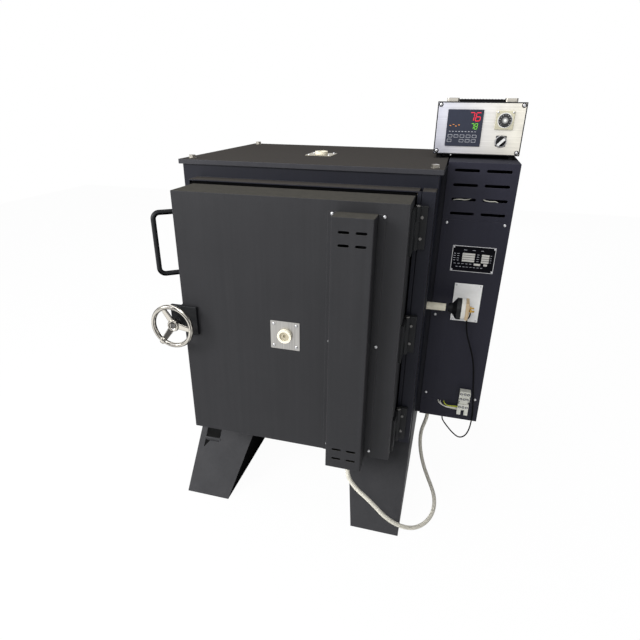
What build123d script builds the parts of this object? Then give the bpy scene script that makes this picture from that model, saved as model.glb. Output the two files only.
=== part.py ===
from build123d import *
from math import cos, pi, radians, sin, tan
import os

# Front-loading electric kiln: X to the right, Y to the back, Z up, in millimetres.
# Places are laid out from the middle of the body, the face of its front collar and the floor.

# Body
body_width = 694
body_back = 607
body_bottom = 253
body_height = 765
sheet = 1.6
fit_gap = 0.4
brick_joint = 0.3

# Lid
lid_overhang = 10
lid_setback = 47
lid_height = 12
lid_sheet = 3
lid_bolt_inset = 14
lid_bolt_front_inset = 38
lid_bolt_back_inset = 27
lid_bolt_flats = 17
lid_bolt_head = 7
lid_washer_radius = 11
lid_washer = 1.5

# Front plate, the collar that the door closes into, and the post for its hinges
frame_inset = 2
frame_drop = 33
frame_depth = 54
collar_inset = 43
collar_sheet = 3
collar_rise = 13
collar_return = 9
post_width = 32
post_sheet = 3
brick_setback = 12

# Trestles under the body
foot_front = -122
foot_width = 144
trestle_top_front = 80
trestle_top_width = 205
trestle_back_inset = 7
trestle_sheet = 3
foot_flange = 25
window_inset = 21
window_width = 51
window_bottom = 115
window_height = 55
window_notch = 17
window_notch_rise = 18
window_bar = 10

# Chamber
wall_brick = 128
hearth_brick = 132
roof_brick = 133
back_brick = 127
groove_depth = 20
groove_height = 20
coil_radius = 8.5
coil_turn = 12
wall_rows = 6
wall_row_share = 0.152
wall_row_front = 60
wall_row_back_inset = 40
tail_clearance = 1

# Rear terminal cover
rear_cover_margin = 45
rear_cover_depth = 32
rear_slot_count = 8

# Flue in the roof, and the same tube and plate in the door's spyhole
vent_x = -16
vent_inset = 307
port_plate = 80
port_plate_sheet = 1.5
port_tube_radius = 19
port_bore_radius = 13
port_rise = 10
port_clearance = 0.3
plug_clearance = 0.08
plug_recess = 4
plug_length = 70
plug_dimple = 5
plug_chamfer = 2

# Door
door_left_gap = 11
door_right_gap = 4
door_bottom_gap = 7
door_top_gap = 7
door_front = 120
door_back = 2
door_sheet = 2
door_flange = 18
pad_gap = 0.5
plug_depth = 30
door_plug_clearance = 8
plug_taper = 4
spyhole_x = 2.5
spyhole_drop = 1
door_rows = 6
door_row_share = 0.148
door_row_inset = 37
door_tail_inset = 17
door_tail = 20

# Hinges on the right side of the door
hinge_offset = 9
hinge_y = 20
hinge_barrel = 8
hinge_pin = 4
hinge_fit = 0.05
hinge_height = 105
hinge_pitch = 287
hinge_drop = 6
hinge_leaf = 7
hinge_slack = 0.5
frame_leaf_width = 24
frame_leaf_thickness = 11
door_leaf_front_inset = 38
pin_head_radius = 6.5
pin_head = 4

# Wiring cover on the door
cover_inset = 169
cover_width = 100
cover_bottom_overhang = 9
cover_top_inset = 25
cover_depth = 59
cover_flange = 18
slot_length = 25
slot_height = 7
slot_spacing = 40
slot_row_pitch = 30
slot_top_margin = 33
slot_bottom_margin = 14

# Pull handle
handle_reach = 44
handle_lead = 21
handle_root_inset = 14
handle_top_inset = 54
handle_span = 160
handle_radius = 6.5
handle_bend = 16
handle_rose_radius = 11
handle_rose = 3

# Clamp: a handwheel that draws a screw into a nut on the frame
spindle_offset = 13
spindle_rise = 4
spindle_radius = 8
spindle_fit = 0.05
screw_travel = 12.5
nut_gap = 2
bracket_arm = 33
bracket_reach = 44
bracket_plate = 10
bracket_back_inset = 58
bracket_low = 34
bracket_arm_low = 20
bracket_high = 48
collar_radius = 14
collar_thickness = 4
collar_gap = 0.5
hub_gap = 0.2
wheel_radius = 62.5
rim_radius = 6.5
rim_setback = 7
hub_length = 23
hub_radius = 13
hub_skirt = 17
hub_square = 12
square_fit = 0.05
square_recess = 4
spoke_angles = (115, 235, 355)
spoke_width = 16
spoke_tip = 13
spoke_thickness = 7
boss_angle = 235
boss_radius = 8.5
nut_inset = 2
nut_wall = 11
nut_thickness = 11
nut_height = 50
tip_chamfer = 1.5

# Thermocouple through the right wall
probe_y = 175
probe_rise = 11
probe_radius = 11
probe_entry = 35
probe_stand = 55
rod_length = 7
head_length = 37
head_radius = 32
neck_radius = 13
disc_radius = 30
disc_thickness = 12
rod_radius = 2
rod_spacing = 12

# Electrical cabinet on the right
cabinet_gap = 14
cabinet_width = 188
cabinet_front = 240
cabinet_back_inset = 17
cabinet_drop = 45
louvre_height = 155
base_height = 62
seam = 0.6
louvre_rows = 4
louvre_row_pitch = 39
louvre_first = 21
louvre_length = 66
louvre_spacing = 84
louvre_open = 8
rail_setback = 5
rail_depth = 30
contactor_width = 90
contactor_height = 110
contactor_depth = 85

# Terminal block on the cabinet
terminal_inset = 50
terminal_rise = 26
terminal_width = 34
terminal_foot = 20
terminal_mid = 22
terminal_top_height = 36
terminal_depth = 20

# Control case
case_width = 234
case_inset = 2
case_setback = 95
case_depth = 180
case_height = 135
foot_height = 13
foot_radius = 9
foot_inset = 17
panel_sheet = 2
controller_inset = 29
controller_drop = 18
controller_size = 96
controller_rise = 8
controller_body = 90
controller_depth = 62
timer_inset = 28
timer_drop = 20
timer_size = 48
timer_rise = 11
timer_body_size = 44
timer_depth = 60
dial_radius = 17
dial_thickness = 4
dial_knob_radius = 8
dial_knob = 8
switch_inset = 54
switch_rise = 37
switch_plate_size = 28
switch_plate_rise = 3
knob_radius = 13
knob_base = 10
knob_grip = 12
knob_grip_width = 9
turn_gap = 0.3
strap_inset = 20
strap_cap = 35
strap_width = 24
strap_thickness = 5
strap_rise = 3
strap_setback = 65

# Glands and cords
hose_radius = 6.25
lead_radius = 2.2
gland_radius = 11
gland_height = 8
lead_gland_radius = 6
hose_out_inset = 39
hose_out_lead = 30
hose_in_inset = 27
hose_in_setback = 22
lead_in_inset = 77
lead_drop = 20
hose_drop = 27
lead_tail = 8
hose_tail = 15

# Worked-out places: body
wall_x = body_width / 2
body_top = body_bottom + body_height
lid_top = body_top + lid_height
lid_width = body_width + 2 * lid_overhang
lid_front = lid_setback
lid_back = body_back + lid_overhang
lid_bolt_x = wall_x - lid_bolt_inset
lid_bolt_front = lid_front + lid_bolt_front_inset
lid_bolt_back = lid_back - lid_bolt_back_inset
frame_width = body_width - 2 * frame_inset
frame_x = frame_width / 2
frame_top = body_top - frame_drop
frame_height = frame_top - body_bottom
frame_middle = (body_bottom + frame_top) / 2
opening_x = frame_x - collar_inset
opening_bottom = body_bottom + collar_rise
opening_top = frame_top - collar_sheet
post_left = frame_x - post_width
plate_back = frame_depth + sheet
trestle_outer = wall_x
foot_inner = trestle_outer - foot_width
trestle_top_inner = trestle_outer - trestle_top_width
trestle_back = body_back - trestle_back_inset

# Worked-out places: bricks and chamber
brick_x = frame_x - sheet - fit_gap
brick_front = brick_setback
collar_brick_x = opening_x - fit_gap
collar_brick_bottom = opening_bottom + fit_gap
collar_brick_top = opening_top - fit_gap
inner_front = plate_back + fit_gap
brick_bottom = body_bottom + sheet + fit_gap
brick_back = body_back - sheet - fit_gap
chamber_x = brick_x - wall_brick
chamber_width = 2 * chamber_x
chamber_bottom = body_bottom + hearth_brick
chamber_top = body_top - roof_brick
chamber_height = chamber_top - chamber_bottom
chamber_middle = (chamber_bottom + chamber_top) / 2
chamber_back = body_back - back_brick
roof_top = lid_top - lid_sheet - fit_gap
row_x = chamber_x + groove_depth / 2
wall_row_back = chamber_back - wall_row_back_inset
wall_row_pitch = wall_row_share * chamber_height
first_row = chamber_middle - (wall_rows - 1) * wall_row_pitch / 2
rear_cover_width = 2 * (row_x + rear_cover_margin / 2)
rear_cover_height = (wall_rows - 1) * wall_row_pitch + 2 * rear_cover_margin
vent_y = body_back - vent_inset

# Worked-out places: door
door_left = -(opening_x - door_left_gap)
door_right = opening_x - door_right_gap
door_bottom = opening_bottom + door_bottom_gap
door_top = opening_top - door_top_gap
door_middle_z = (door_bottom + door_top) / 2
spyhole_z = frame_middle - spyhole_drop
pad_face = brick_front - pad_gap
plug_face = pad_face + plug_depth
plug_x = chamber_x - door_plug_clearance
door_row_pitch = door_row_share * chamber_height
door_row_left = -(plug_x - door_row_inset)
door_tail_x = plug_x - door_tail_inset
door_tail_end = door_front + door_tail
hinge_x = door_right + hinge_offset
hinge_middle = frame_middle - hinge_drop
door_leaf_front = door_front - door_leaf_front_inset
cover_left = door_right - cover_inset
cover_bottom = door_bottom - cover_bottom_overhang
cover_top = door_top - cover_top_inset
cover_front = door_front + cover_depth
handle_x = door_left - handle_reach
handle_y = door_front + handle_lead
handle_root_y = door_front - handle_root_inset
handle_top = door_top - handle_top_inset
handle_bottom = handle_top - handle_span

# Worked-out places: clamp
spindle_x = door_left - spindle_offset
spindle_z = frame_middle + spindle_rise
bracket_left = door_left - bracket_arm
bracket_right = door_left + bracket_reach
bracket_front = door_front + bracket_plate
bracket_back = door_front - bracket_back_inset
bracket_bottom = spindle_z - bracket_low
bracket_step = spindle_z - bracket_arm_low
bracket_top = spindle_z + bracket_high
collar_back = bracket_front + collar_gap + screw_travel
hub_back = collar_back + collar_thickness + hub_gap
hub_front = hub_back + hub_length
wheel_plane = hub_front - rim_setback
spindle_tip = nut_thickness + nut_gap
nut_left = -(frame_x - nut_inset)
nut_right = spindle_x + nut_wall

# Worked-out places: thermocouple, cabinet and control case
probe_z = frame_middle + probe_rise
probe_reach = chamber_x - probe_entry
probe_end = wall_x + probe_stand
head_start = probe_end + rod_length
head_end = head_start + head_length
cabinet_left = wall_x + cabinet_gap
cabinet_right = cabinet_left + cabinet_width
cabinet_back = body_back - cabinet_back_inset
cabinet_bottom = body_bottom - cabinet_drop
cabinet_top = lid_top
terminal_x = cabinet_right - terminal_inset
terminal_bottom = cabinet_bottom + terminal_rise
case_right = cabinet_right - case_inset
case_left = case_right - case_width
case_front = cabinet_front + case_setback
case_bottom = lid_top + foot_height
case_top = case_bottom + case_height
panel_front = case_front - panel_sheet
controller_left = case_left + controller_inset
controller_top = case_top - controller_drop
timer_left = case_right - timer_inset - timer_size
timer_top = case_top - timer_drop
dial_x = timer_left + timer_size / 2
dial_z = timer_top - timer_size / 2
switch_x = case_right - switch_inset
switch_z = case_bottom + switch_rise
strap_left = case_left + strap_inset
strap_right = case_right - strap_inset
strap_y = case_front + strap_setback
hose_out_x = cover_left + cover_width - hose_out_inset
hose_out_y = -(door_front + hose_out_lead)
hose_in_x = cabinet_left + hose_in_inset
hose_in_y = cabinet_front + hose_in_setback
lead_in_x = cabinet_left + lead_in_inset
lead_start_z = probe_z - lead_drop

# The whole kiln's reach
reach_left = spindle_x - wheel_radius
reach_right = cabinet_right
reach_front = -cover_front
reach_back = body_back + rear_cover_depth

# The kiln's origin is on the floor under the middle of its bounding box
layout = (-(reach_left + reach_right) / 2, -(reach_front + reach_back) / 2, 0)
floor = Plane(origin=layout, x_dir=(1, 0, 0), z_dir=(0, 0, 1))
front = Plane(origin=layout, x_dir=(1, 0, 0), z_dir=(0, -1, 0))
back = Plane(origin=layout, x_dir=(-1, 0, 0), z_dir=(0, 1, 0))
side = Plane(origin=layout, x_dir=(0, 1, 0), z_dir=(1, 0, 0))
wheel = Plane(
    origin=floor.from_local_coords((spindle_x, -wheel_plane, spindle_z)),
    x_dir=(1, 0, 0),
    z_dir=(0, -1, 0),
)
probe = Plane(
    origin=floor.from_local_coords((0, probe_y, probe_z)),
    x_dir=(0, 1, 0),
    z_dir=(1, 0, 0),
)

os.makedirs("parts", exist_ok=True)


def mid(low, high):
    return (low + high) / 2


def block(x_low, x_high, y_low, y_high, z_low, z_high, mode=Mode.ADD):
    """A rectangular block between six layout limits, made in the open part."""
    centre = Pos(mid(x_low, x_high), mid(y_low, y_high), mid(z_low, z_high))
    with Locations(floor.location * centre):
        Box(x_high - x_low, y_high - y_low, z_high - z_low, mode=mode)


def ring(width, height, wall, middle_z):
    """A rectangular ring in the open sketch of the front plane."""
    with Locations((0, middle_z)):
        Rectangle(width, height)
        Rectangle(width - 2 * wall, height - 2 * wall, mode=Mode.SUBTRACT)


# Trestles: sheet boxes with a front that leans out to the foot, and a flange on the floor
def trestle(hand):
    with BuildPart() as stand:
        with BuildSketch(floor):
            with BuildLine():
                Polyline(
                    (hand * foot_inner, foot_front),
                    (hand * trestle_outer, foot_front),
                    (hand * trestle_outer, trestle_back),
                    (hand * foot_inner, trestle_back),
                    close=True,
                )
            make_face()
        with BuildSketch(floor.offset(body_bottom)):
            with BuildLine():
                Polyline(
                    (hand * trestle_top_inner, trestle_top_front),
                    (hand * trestle_outer, trestle_top_front),
                    (hand * trestle_outer, trestle_back),
                    (hand * trestle_top_inner, trestle_back),
                    close=True,
                )
            make_face()
        loft(ruled=True)
        top_end = faces().sort_by(Axis.Z)[-1]
        offset(amount=-trestle_sheet, openings=top_end)
        foot_width = trestle_outer - foot_inner
        foot_length = trestle_back - foot_front
        with BuildSketch(floor):
            with Locations((hand * mid(foot_inner, trestle_outer), mid(foot_front, trestle_back))):
                Rectangle(foot_width - 2 * foot_flange, foot_length - 2 * foot_flange)
        extrude(amount=trestle_sheet, mode=Mode.SUBTRACT)
    return stand


right_trestle = trestle(1)
right_trestle.part.label = "right_trestle"
export_step(right_trestle.part, "parts/right_trestle.step")

# The left trestle has a window near its outer edge, crossed by a bar
left_plain = trestle(-1)
window_left = -trestle_outer + window_inset
notch_top = window_bottom + window_notch_rise
with BuildPart() as left_trestle:
    add(left_plain.part)
    with BuildSketch(front.offset(-trestle_top_front)):
        with BuildLine():
            Polyline(
                (window_left, window_bottom),
                (window_left, window_bottom + window_height),
                (window_left + window_width, window_bottom + window_height),
                (window_left + window_width, notch_top),
                (window_left + window_notch, notch_top),
                close=True,
            )
        make_face()
    extrude(amount=trestle_top_front - foot_front, mode=Mode.SUBTRACT)
    bar_z = notch_top + window_bar / 2
    bar_y = foot_front + (trestle_top_front - foot_front) * bar_z / body_bottom
    with BuildSketch(floor.offset(bar_z - window_bar / 2)):
        with Locations((window_left + window_width / 2, bar_y + trestle_sheet)):
            Rectangle(window_width + 2 * trestle_sheet, 2 * trestle_sheet)
    extrude(amount=window_bar)
left_trestle.part.label = "left_trestle"
export_step(left_trestle.part, "parts/left_trestle.step")

# Casing
with BuildPart() as bottom_pan:
    block(-wall_x + sheet, wall_x - sheet, plate_back, body_back - sheet, body_bottom, body_bottom + sheet)
bottom_pan.part.label = "bottom_pan"
export_step(bottom_pan.part, "parts/bottom_pan.step")

with BuildPart() as left_casing:
    block(-wall_x, -wall_x + sheet, frame_depth, body_back, body_bottom, body_top)
left_casing.part.label = "left_casing"
export_step(left_casing.part, "parts/left_casing.step")

with BuildPart() as right_casing:
    block(wall_x - sheet, wall_x, frame_depth, body_back, body_bottom, body_top)
    with Locations(probe.offset(wall_x)):
        Hole(radius=probe_radius + port_clearance)
right_casing.part.label = "right_casing"
export_step(right_casing.part, "parts/right_casing.step")

tail_rows = (first_row, first_row + (wall_rows - 1) * wall_row_pitch)
with BuildPart() as back_casing:
    block(-wall_x + sheet, wall_x - sheet, body_back - sheet, body_back, body_bottom, body_top)
    with BuildSketch(back.offset(body_back)):
        for row_z in tail_rows:
            with Locations((-row_x, row_z), (row_x, row_z)):
                Circle(coil_radius + tail_clearance)
    extrude(amount=-sheet, mode=Mode.SUBTRACT)
back_casing.part.label = "back_casing"
export_step(back_casing.part, "parts/back_casing.step")

# Front plate with its collar, and the hinge post, folded from sheet and open at the back
with BuildPart() as front_frame:
    collar_x = opening_x + collar_sheet
    collar_bottom = opening_bottom - collar_sheet
    block(-frame_x, frame_x, frame_depth, plate_back, body_bottom, body_top)
    block(-collar_x, collar_x, 0, plate_back, collar_bottom, frame_top)
    block(-opening_x, opening_x, 0, plate_back, opening_bottom, opening_top, mode=Mode.SUBTRACT)
    block(opening_x, opening_x + collar_return, 0, sheet, collar_bottom, frame_top)
    block(post_left, frame_x, 0, frame_depth, body_bottom, frame_top)
    block(
        post_left + sheet,
        frame_x - sheet,
        post_sheet,
        plate_back,
        body_bottom + sheet,
        frame_top - sheet,
        mode=Mode.SUBTRACT,
    )
front_frame.part.label = "front_frame"
export_step(front_frame.part, "parts/front_frame.step")

# Lid: a pan with folded edges, and the flue's hole
with BuildPart() as lid:
    with BuildSketch(floor.offset(body_top)):
        with Locations((0, mid(lid_front, lid_back))):
            Rectangle(lid_width, lid_back - lid_front)
    extrude(amount=lid_height)
    underside = faces().sort_by(Axis.Z)[0]
    offset(amount=-lid_sheet, openings=underside)
    upright = edges().filter_by(Axis.Z)
    fillet(upright.group_by(SortBy.LENGTH)[-1], radius=2)
    with Locations(floor.offset(lid_top).location * Pos(vent_x, vent_y)):
        Hole(radius=port_tube_radius + port_clearance)
lid.part.label = "lid"
export_step(lid.part, "parts/lid.step")

# Hexagon bolts with washers near the lid's corners
with BuildPart() as lid_bolts:
    corners = [(x, y) for x in (-lid_bolt_x, lid_bolt_x) for y in (lid_bolt_front, lid_bolt_back)]
    with BuildSketch(floor.offset(lid_top)):
        with Locations(*corners):
            Circle(lid_washer_radius)
    extrude(amount=lid_washer)
    with BuildSketch(floor.offset(lid_top + lid_washer)):
        with Locations(*corners):
            RegularPolygon(lid_bolt_flats / 2, 6, major_radius=False)
    extrude(amount=lid_bolt_head)
lid_bolts.part.label = "lid_bolts"
export_step(lid_bolts.part, "parts/lid_bolts.step")

# Insulating bricks round the chamber, narrower where they stand inside the collar
def trim_to_collar(hand):
    """Cut the brick that would stand beside the collar, from the open part."""
    near, far = sorted((hand * collar_brick_x, hand * brick_x))
    block(near, far, brick_front, inner_front, body_bottom, lid_top, mode=Mode.SUBTRACT)


with BuildPart() as hearth_bricks:
    hearth_top = chamber_bottom - brick_joint
    block(-brick_x, brick_x, brick_front, brick_back, brick_bottom, hearth_top)
    block(-brick_x, brick_x, brick_front, inner_front, brick_bottom, collar_brick_bottom, mode=Mode.SUBTRACT)
    trim_to_collar(-1)
    trim_to_collar(1)
hearth_bricks.part.label = "hearth_bricks"
export_step(hearth_bricks.part, "parts/hearth_bricks.step")

with BuildPart() as roof_bricks:
    with BuildSketch(side.offset(-brick_x)):
        with BuildLine():
            Polyline(
                (brick_front, chamber_top + brick_joint),
                (brick_back, chamber_top + brick_joint),
                (brick_back, roof_top),
                (inner_front, roof_top),
                (inner_front, collar_brick_top),
                (brick_front, collar_brick_top),
                close=True,
            )
        make_face()
    extrude(amount=2 * brick_x)
    trim_to_collar(-1)
    trim_to_collar(1)
    with Locations(floor.offset(roof_top).location * Pos(vent_x, vent_y)):
        Hole(radius=port_tube_radius + port_clearance)
roof_bricks.part.label = "roof_bricks"
export_step(roof_bricks.part, "parts/roof_bricks.step")


def row_heights(first, pitch, count):
    return [first + pitch * index for index in range(count)]


def serpentine(low, high, heights):
    """Corners of a path that runs back and forth, one run at each height."""
    corners = []
    for index, height in enumerate(heights):
        ends = (high, low) if index % 2 == 0 else (low, high)
        corners += [(ends[0], height), (ends[1], height)]
    return corners


def groove_sketch(low, high, heights, height):
    """Grooves for a serpentine: its runs, and the turns that join them."""
    for index, row in enumerate(heights):
        with Locations((mid(low, high), row)):
            Rectangle(high - low + height, height)
        if index + 1 < len(heights):
            turn = low if index % 2 == 0 else high
            with Locations((turn, mid(row, heights[index + 1]))):
                Rectangle(height, heights[index + 1] - row)


wall_heights = row_heights(first_row, wall_row_pitch, wall_rows)


def wall_bricks(hand):
    with BuildPart() as wall:
        block(
            min(hand * chamber_x, hand * brick_x),
            max(hand * chamber_x, hand * brick_x),
            brick_front,
            brick_back,
            chamber_bottom,
            chamber_top,
        )
        trim_to_collar(hand)
        with BuildSketch(side.offset(hand * chamber_x)):
            groove_sketch(wall_row_front, wall_row_back, wall_heights, groove_height)
            for row_z in tail_rows:
                with Locations((mid(wall_row_back, chamber_back), row_z)):
                    Rectangle(chamber_back - wall_row_back, groove_height)
        extrude(amount=hand * groove_depth, mode=Mode.SUBTRACT)
        with BuildSketch(back.offset(brick_back)):
            for row_z in tail_rows:
                with Locations((-hand * row_x, row_z)):
                    Circle(coil_radius + tail_clearance)
        extrude(amount=chamber_back - brick_back, mode=Mode.SUBTRACT)
    return wall


left_bricks = wall_bricks(-1)
left_bricks.part.label = "left_bricks"
export_step(left_bricks.part, "parts/left_bricks.step")

right_plain = wall_bricks(1)
with BuildPart() as right_bricks:
    add(right_plain.part)
    with BuildSketch(probe.offset(chamber_x)):
        Circle(probe_radius + port_clearance)
    extrude(amount=brick_x - chamber_x, mode=Mode.SUBTRACT)
right_bricks.part.label = "right_bricks"
export_step(right_bricks.part, "parts/right_bricks.step")

with BuildPart() as back_bricks:
    inner_x = chamber_x - brick_joint
    block(-inner_x, inner_x, chamber_back, brick_back, chamber_bottom, chamber_top)
back_bricks.part.label = "back_bricks"
export_step(back_bricks.part, "parts/back_bricks.step")


# Heating elements: the outer shape of a coil laid in the grooves, with tails through the wall
def wall_element(hand):
    turns = serpentine(wall_row_front, wall_row_back, wall_heights)
    tail_end = body_back + rear_cover_depth / 2
    path = [(hand * row_x, tail_end, turns[0][1])]
    path += [(hand * row_x, y, z) for y, z in turns[1:-1]]
    path += [(hand * row_x, tail_end, turns[-1][1])]
    with BuildPart() as element:
        with BuildLine(floor) as run:
            FilletPolyline(*path, radius=coil_turn)
        with BuildSketch(Plane(origin=run.line @ 0, z_dir=run.line % 0)):
            Circle(coil_radius)
        sweep()
    return element


left_element = wall_element(-1)
left_element.part.label = "left_element"
export_step(left_element.part, "parts/left_element.step")

right_element = wall_element(1)
right_element.part.label = "right_element"
export_step(right_element.part, "parts/right_element.step")

# Slotted cover over the element tails at the back
rear_middle = mid(*tail_rows)
with BuildPart() as rear_terminal_cover:
    with BuildSketch(back.offset(body_back)):
        with Locations((0, rear_middle)):
            Rectangle(rear_cover_width, rear_cover_height)
    extrude(amount=rear_cover_depth)
    inner_face = faces().sort_by(Axis.Y)[0]
    offset(amount=-sheet, openings=inner_face)
    with BuildSketch(back.offset(body_back + rear_cover_depth)):
        for row_z in (-1, 1):
            with Locations((0, rear_middle + row_z * (rear_cover_height / 2 - slot_row_pitch))):
                with GridLocations(slot_spacing + slot_height, 1, rear_slot_count, 1):
                    SlotOverall(slot_length, slot_height)
    extrude(amount=-sheet, mode=Mode.SUBTRACT)
rear_terminal_cover.part.label = "rear_terminal_cover"
export_step(rear_terminal_cover.part, "parts/rear_terminal_cover.step")

# Flue: plate, ceramic tube and plug
with BuildPart() as vent_plate:
    with BuildSketch(floor.offset(lid_top)):
        with Locations((vent_x, vent_y)):
            RectangleRounded(port_plate, port_plate, 2)
            Circle(port_tube_radius + port_clearance, mode=Mode.SUBTRACT)
    extrude(amount=port_plate_sheet)
vent_plate.part.label = "vent_plate"
export_step(vent_plate.part, "parts/vent_plate.step")

vent_top = lid_top + port_rise
with BuildPart() as vent_tube:
    with BuildSketch(floor.offset(chamber_top + brick_joint)):
        with Locations((vent_x, vent_y)):
            Circle(port_tube_radius)
            Circle(port_bore_radius, mode=Mode.SUBTRACT)
    extrude(amount=vent_top - chamber_top - brick_joint)
vent_tube.part.label = "vent_tube"
export_step(vent_tube.part, "parts/vent_tube.step")


def port_plug(mouth):
    """A round plug that hangs in a port tube, with a dimple in its outer face."""
    with BuildPart() as plug:
        with BuildSketch(mouth.offset(-plug_recess)):
            Circle(port_bore_radius - plug_clearance)
        extrude(amount=-plug_length)
        tip = faces().sort_by(Axis(mouth.origin, mouth.z_dir))[0]
        chamfer(tip.edges(), length=plug_chamfer)
        with BuildSketch(mouth.offset(-plug_recess)):
            Circle(plug_dimple)
        extrude(amount=-plug_dimple, taper=20, mode=Mode.SUBTRACT)
    return plug


vent_mouth = Plane(floor.offset(vent_top).location * Pos(vent_x, vent_y))
vent_plug = port_plug(vent_mouth)
vent_plug.part.label = "vent_plug"
export_step(vent_plug.part, "parts/vent_plug.step")

# Door: a folded pan filled with brick
door_width = door_right - door_left
door_height = door_top - door_bottom
door_middle_x = mid(door_left, door_right)
tail_heights = (
    spyhole_z - door_row_pitch * (door_rows / 2 - 0.5),
    spyhole_z + door_row_pitch * (door_rows / 2 - 0.5),
)
with BuildPart() as door_shell:
    with BuildSketch(front.offset(door_back)):
        with Locations((door_middle_x, door_middle_z)):
            Rectangle(door_width, door_height)
    extrude(amount=door_front - door_back)
    rear_face = faces().sort_by(Axis.Y)[-1]
    offset(amount=-door_sheet, openings=rear_face)
    with BuildSketch(front.offset(door_back)):
        with Locations((door_middle_x, door_middle_z)):
            Rectangle(door_width, door_height)
            Rectangle(door_width - 2 * door_flange, door_height - 2 * door_flange, mode=Mode.SUBTRACT)
    extrude(amount=door_sheet)
    with BuildSketch(front.offset(door_front)):
        with Locations((spyhole_x, spyhole_z)):
            Circle(port_tube_radius + port_clearance)
        for tail_z in tail_heights:
            with Locations((door_tail_x, tail_z)):
                Circle(coil_radius + tail_clearance)
    extrude(amount=-door_sheet, mode=Mode.SUBTRACT)
door_shell.part.label = "door_shell"
export_step(door_shell.part, "parts/door_shell.step")

# Door bricks: the filling, a pad that meets the body's bricks, and a plug with coil grooves
door_heights = row_heights(tail_heights[0], door_row_pitch, door_rows)
plug_width = 2 * plug_x
plug_height = chamber_height - 2 * door_plug_clearance
pad_width = door_width - 2 * door_flange - 2 * fit_gap
pad_height = door_height - 2 * door_flange - 2 * fit_gap
with BuildPart() as door_bricks:
    fill = door_sheet + fit_gap
    block(
        door_left + fill,
        door_right - fill,
        -door_front + fill,
        -door_back - fill,
        door_bottom + fill,
        door_top - fill,
    )
    with BuildSketch(front.offset(door_back + fill)):
        with Locations((door_middle_x, door_middle_z)):
            Rectangle(pad_width, pad_height)
    extrude(amount=-(door_back + fill) - pad_face)
    with BuildSketch(front.offset(-pad_face)):
        with Locations((0, chamber_middle)):
            Rectangle(plug_width, plug_height)
    extrude(amount=-plug_depth, taper=plug_taper)
    with BuildSketch(front.offset(-plug_face)):
        groove_sketch(door_row_left, door_tail_x, door_heights, groove_height)
    extrude(amount=groove_depth, mode=Mode.SUBTRACT)
    with BuildSketch(front.offset(-plug_face)):
        for tail_z in tail_heights:
            with Locations((door_tail_x, tail_z)):
                Circle(coil_radius + tail_clearance)
        with Locations((spyhole_x, spyhole_z)):
            Circle(port_tube_radius + port_clearance)
    extrude(amount=plug_face + door_front, mode=Mode.SUBTRACT)
door_bricks.part.label = "door_bricks"
export_step(door_bricks.part, "parts/door_bricks.step")

with BuildPart() as door_element:
    coil_y = plug_face - groove_depth / 2
    turns = serpentine(door_row_left, door_tail_x, door_heights)
    path = [(door_tail_x, -door_tail_end, tail_heights[0])]
    path += [(x, coil_y, z) for x, z in turns]
    path += [(door_tail_x, -door_tail_end, tail_heights[-1])]
    with BuildLine(floor) as door_run:
        FilletPolyline(*path, radius=coil_turn)
    with BuildSketch(Plane(origin=door_run.line @ 0, z_dir=door_run.line % 0)):
        Circle(coil_radius)
    sweep()
door_element.part.label = "door_element"
export_step(door_element.part, "parts/door_element.step")

# Hinges: three sets of leaves with interleaved knuckles on one pin line
hinge_centres = [hinge_middle + step * hinge_pitch for step in (-1, 0, 1)]
knuckle = hinge_height / 3


def knuckle_ring(z_low, height):
    """A knuckle round the pin, in the open part."""
    with Locations(floor.location * Pos(hinge_x, -hinge_y, z_low + height / 2)):
        Cylinder(hinge_barrel, height)


with BuildPart() as frame_hinge_leaves:
    for centre in hinge_centres:
        low = centre - hinge_height / 2
        leaf_right = hinge_x + frame_leaf_width
        block(hinge_x, leaf_right, -frame_leaf_thickness, 0, low, low + hinge_height)
        for start in (low, low + 2 * knuckle + hinge_slack / 2):
            height = knuckle - hinge_slack / 2
            block(hinge_x, hinge_x + hinge_barrel, -hinge_y, 0, start, start + height)
            knuckle_ring(start, height)
    with BuildSketch(floor.offset(hinge_centres[0] - hinge_height)):
        with Locations((hinge_x, -hinge_y)):
            Circle(hinge_pin)
    extrude(amount=2 * hinge_pitch + 2 * hinge_height, mode=Mode.SUBTRACT)
frame_hinge_leaves.part.label = "frame_hinge_leaves"
export_step(frame_hinge_leaves.part, "parts/frame_hinge_leaves.step")

with BuildPart() as door_hinge_leaves:
    for centre in hinge_centres:
        low = centre - hinge_height / 2
        leaf_back = hinge_y + hinge_barrel + hinge_slack
        block(door_right, door_right + hinge_leaf, -door_leaf_front, -leaf_back, low, low + hinge_height)
        start = low + knuckle + hinge_slack / 2
        height = knuckle - hinge_slack
        block(door_right, hinge_x, -leaf_back, -hinge_y, start, start + height)
        knuckle_ring(start, height)
    with BuildSketch(floor.offset(hinge_centres[0] - hinge_height)):
        with Locations((hinge_x, -hinge_y)):
            Circle(hinge_pin + hinge_fit)
    extrude(amount=2 * hinge_pitch + 2 * hinge_height, mode=Mode.SUBTRACT)
door_hinge_leaves.part.label = "door_hinge_leaves"
export_step(door_hinge_leaves.part, "parts/door_hinge_leaves.step")

with BuildPart() as hinge_pins:
    for centre in hinge_centres:
        low = centre - hinge_height / 2
        with BuildSketch(floor.offset(low)):
            with Locations((hinge_x, -hinge_y)):
                Circle(hinge_pin)
        extrude(amount=hinge_height)
        with BuildSketch(floor.offset(low + hinge_height)):
            with Locations((hinge_x, -hinge_y)):
                Circle(pin_head_radius)
        extrude(amount=pin_head)
    crowns = edges().filter_by(GeomType.CIRCLE).filter_by(lambda e: abs(e.radius - pin_head_radius) < 0.01)
    chamfer(crowns, length=0.8)
hinge_pins.part.label = "hinge_pins"
export_step(hinge_pins.part, "parts/hinge_pins.step")

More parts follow.
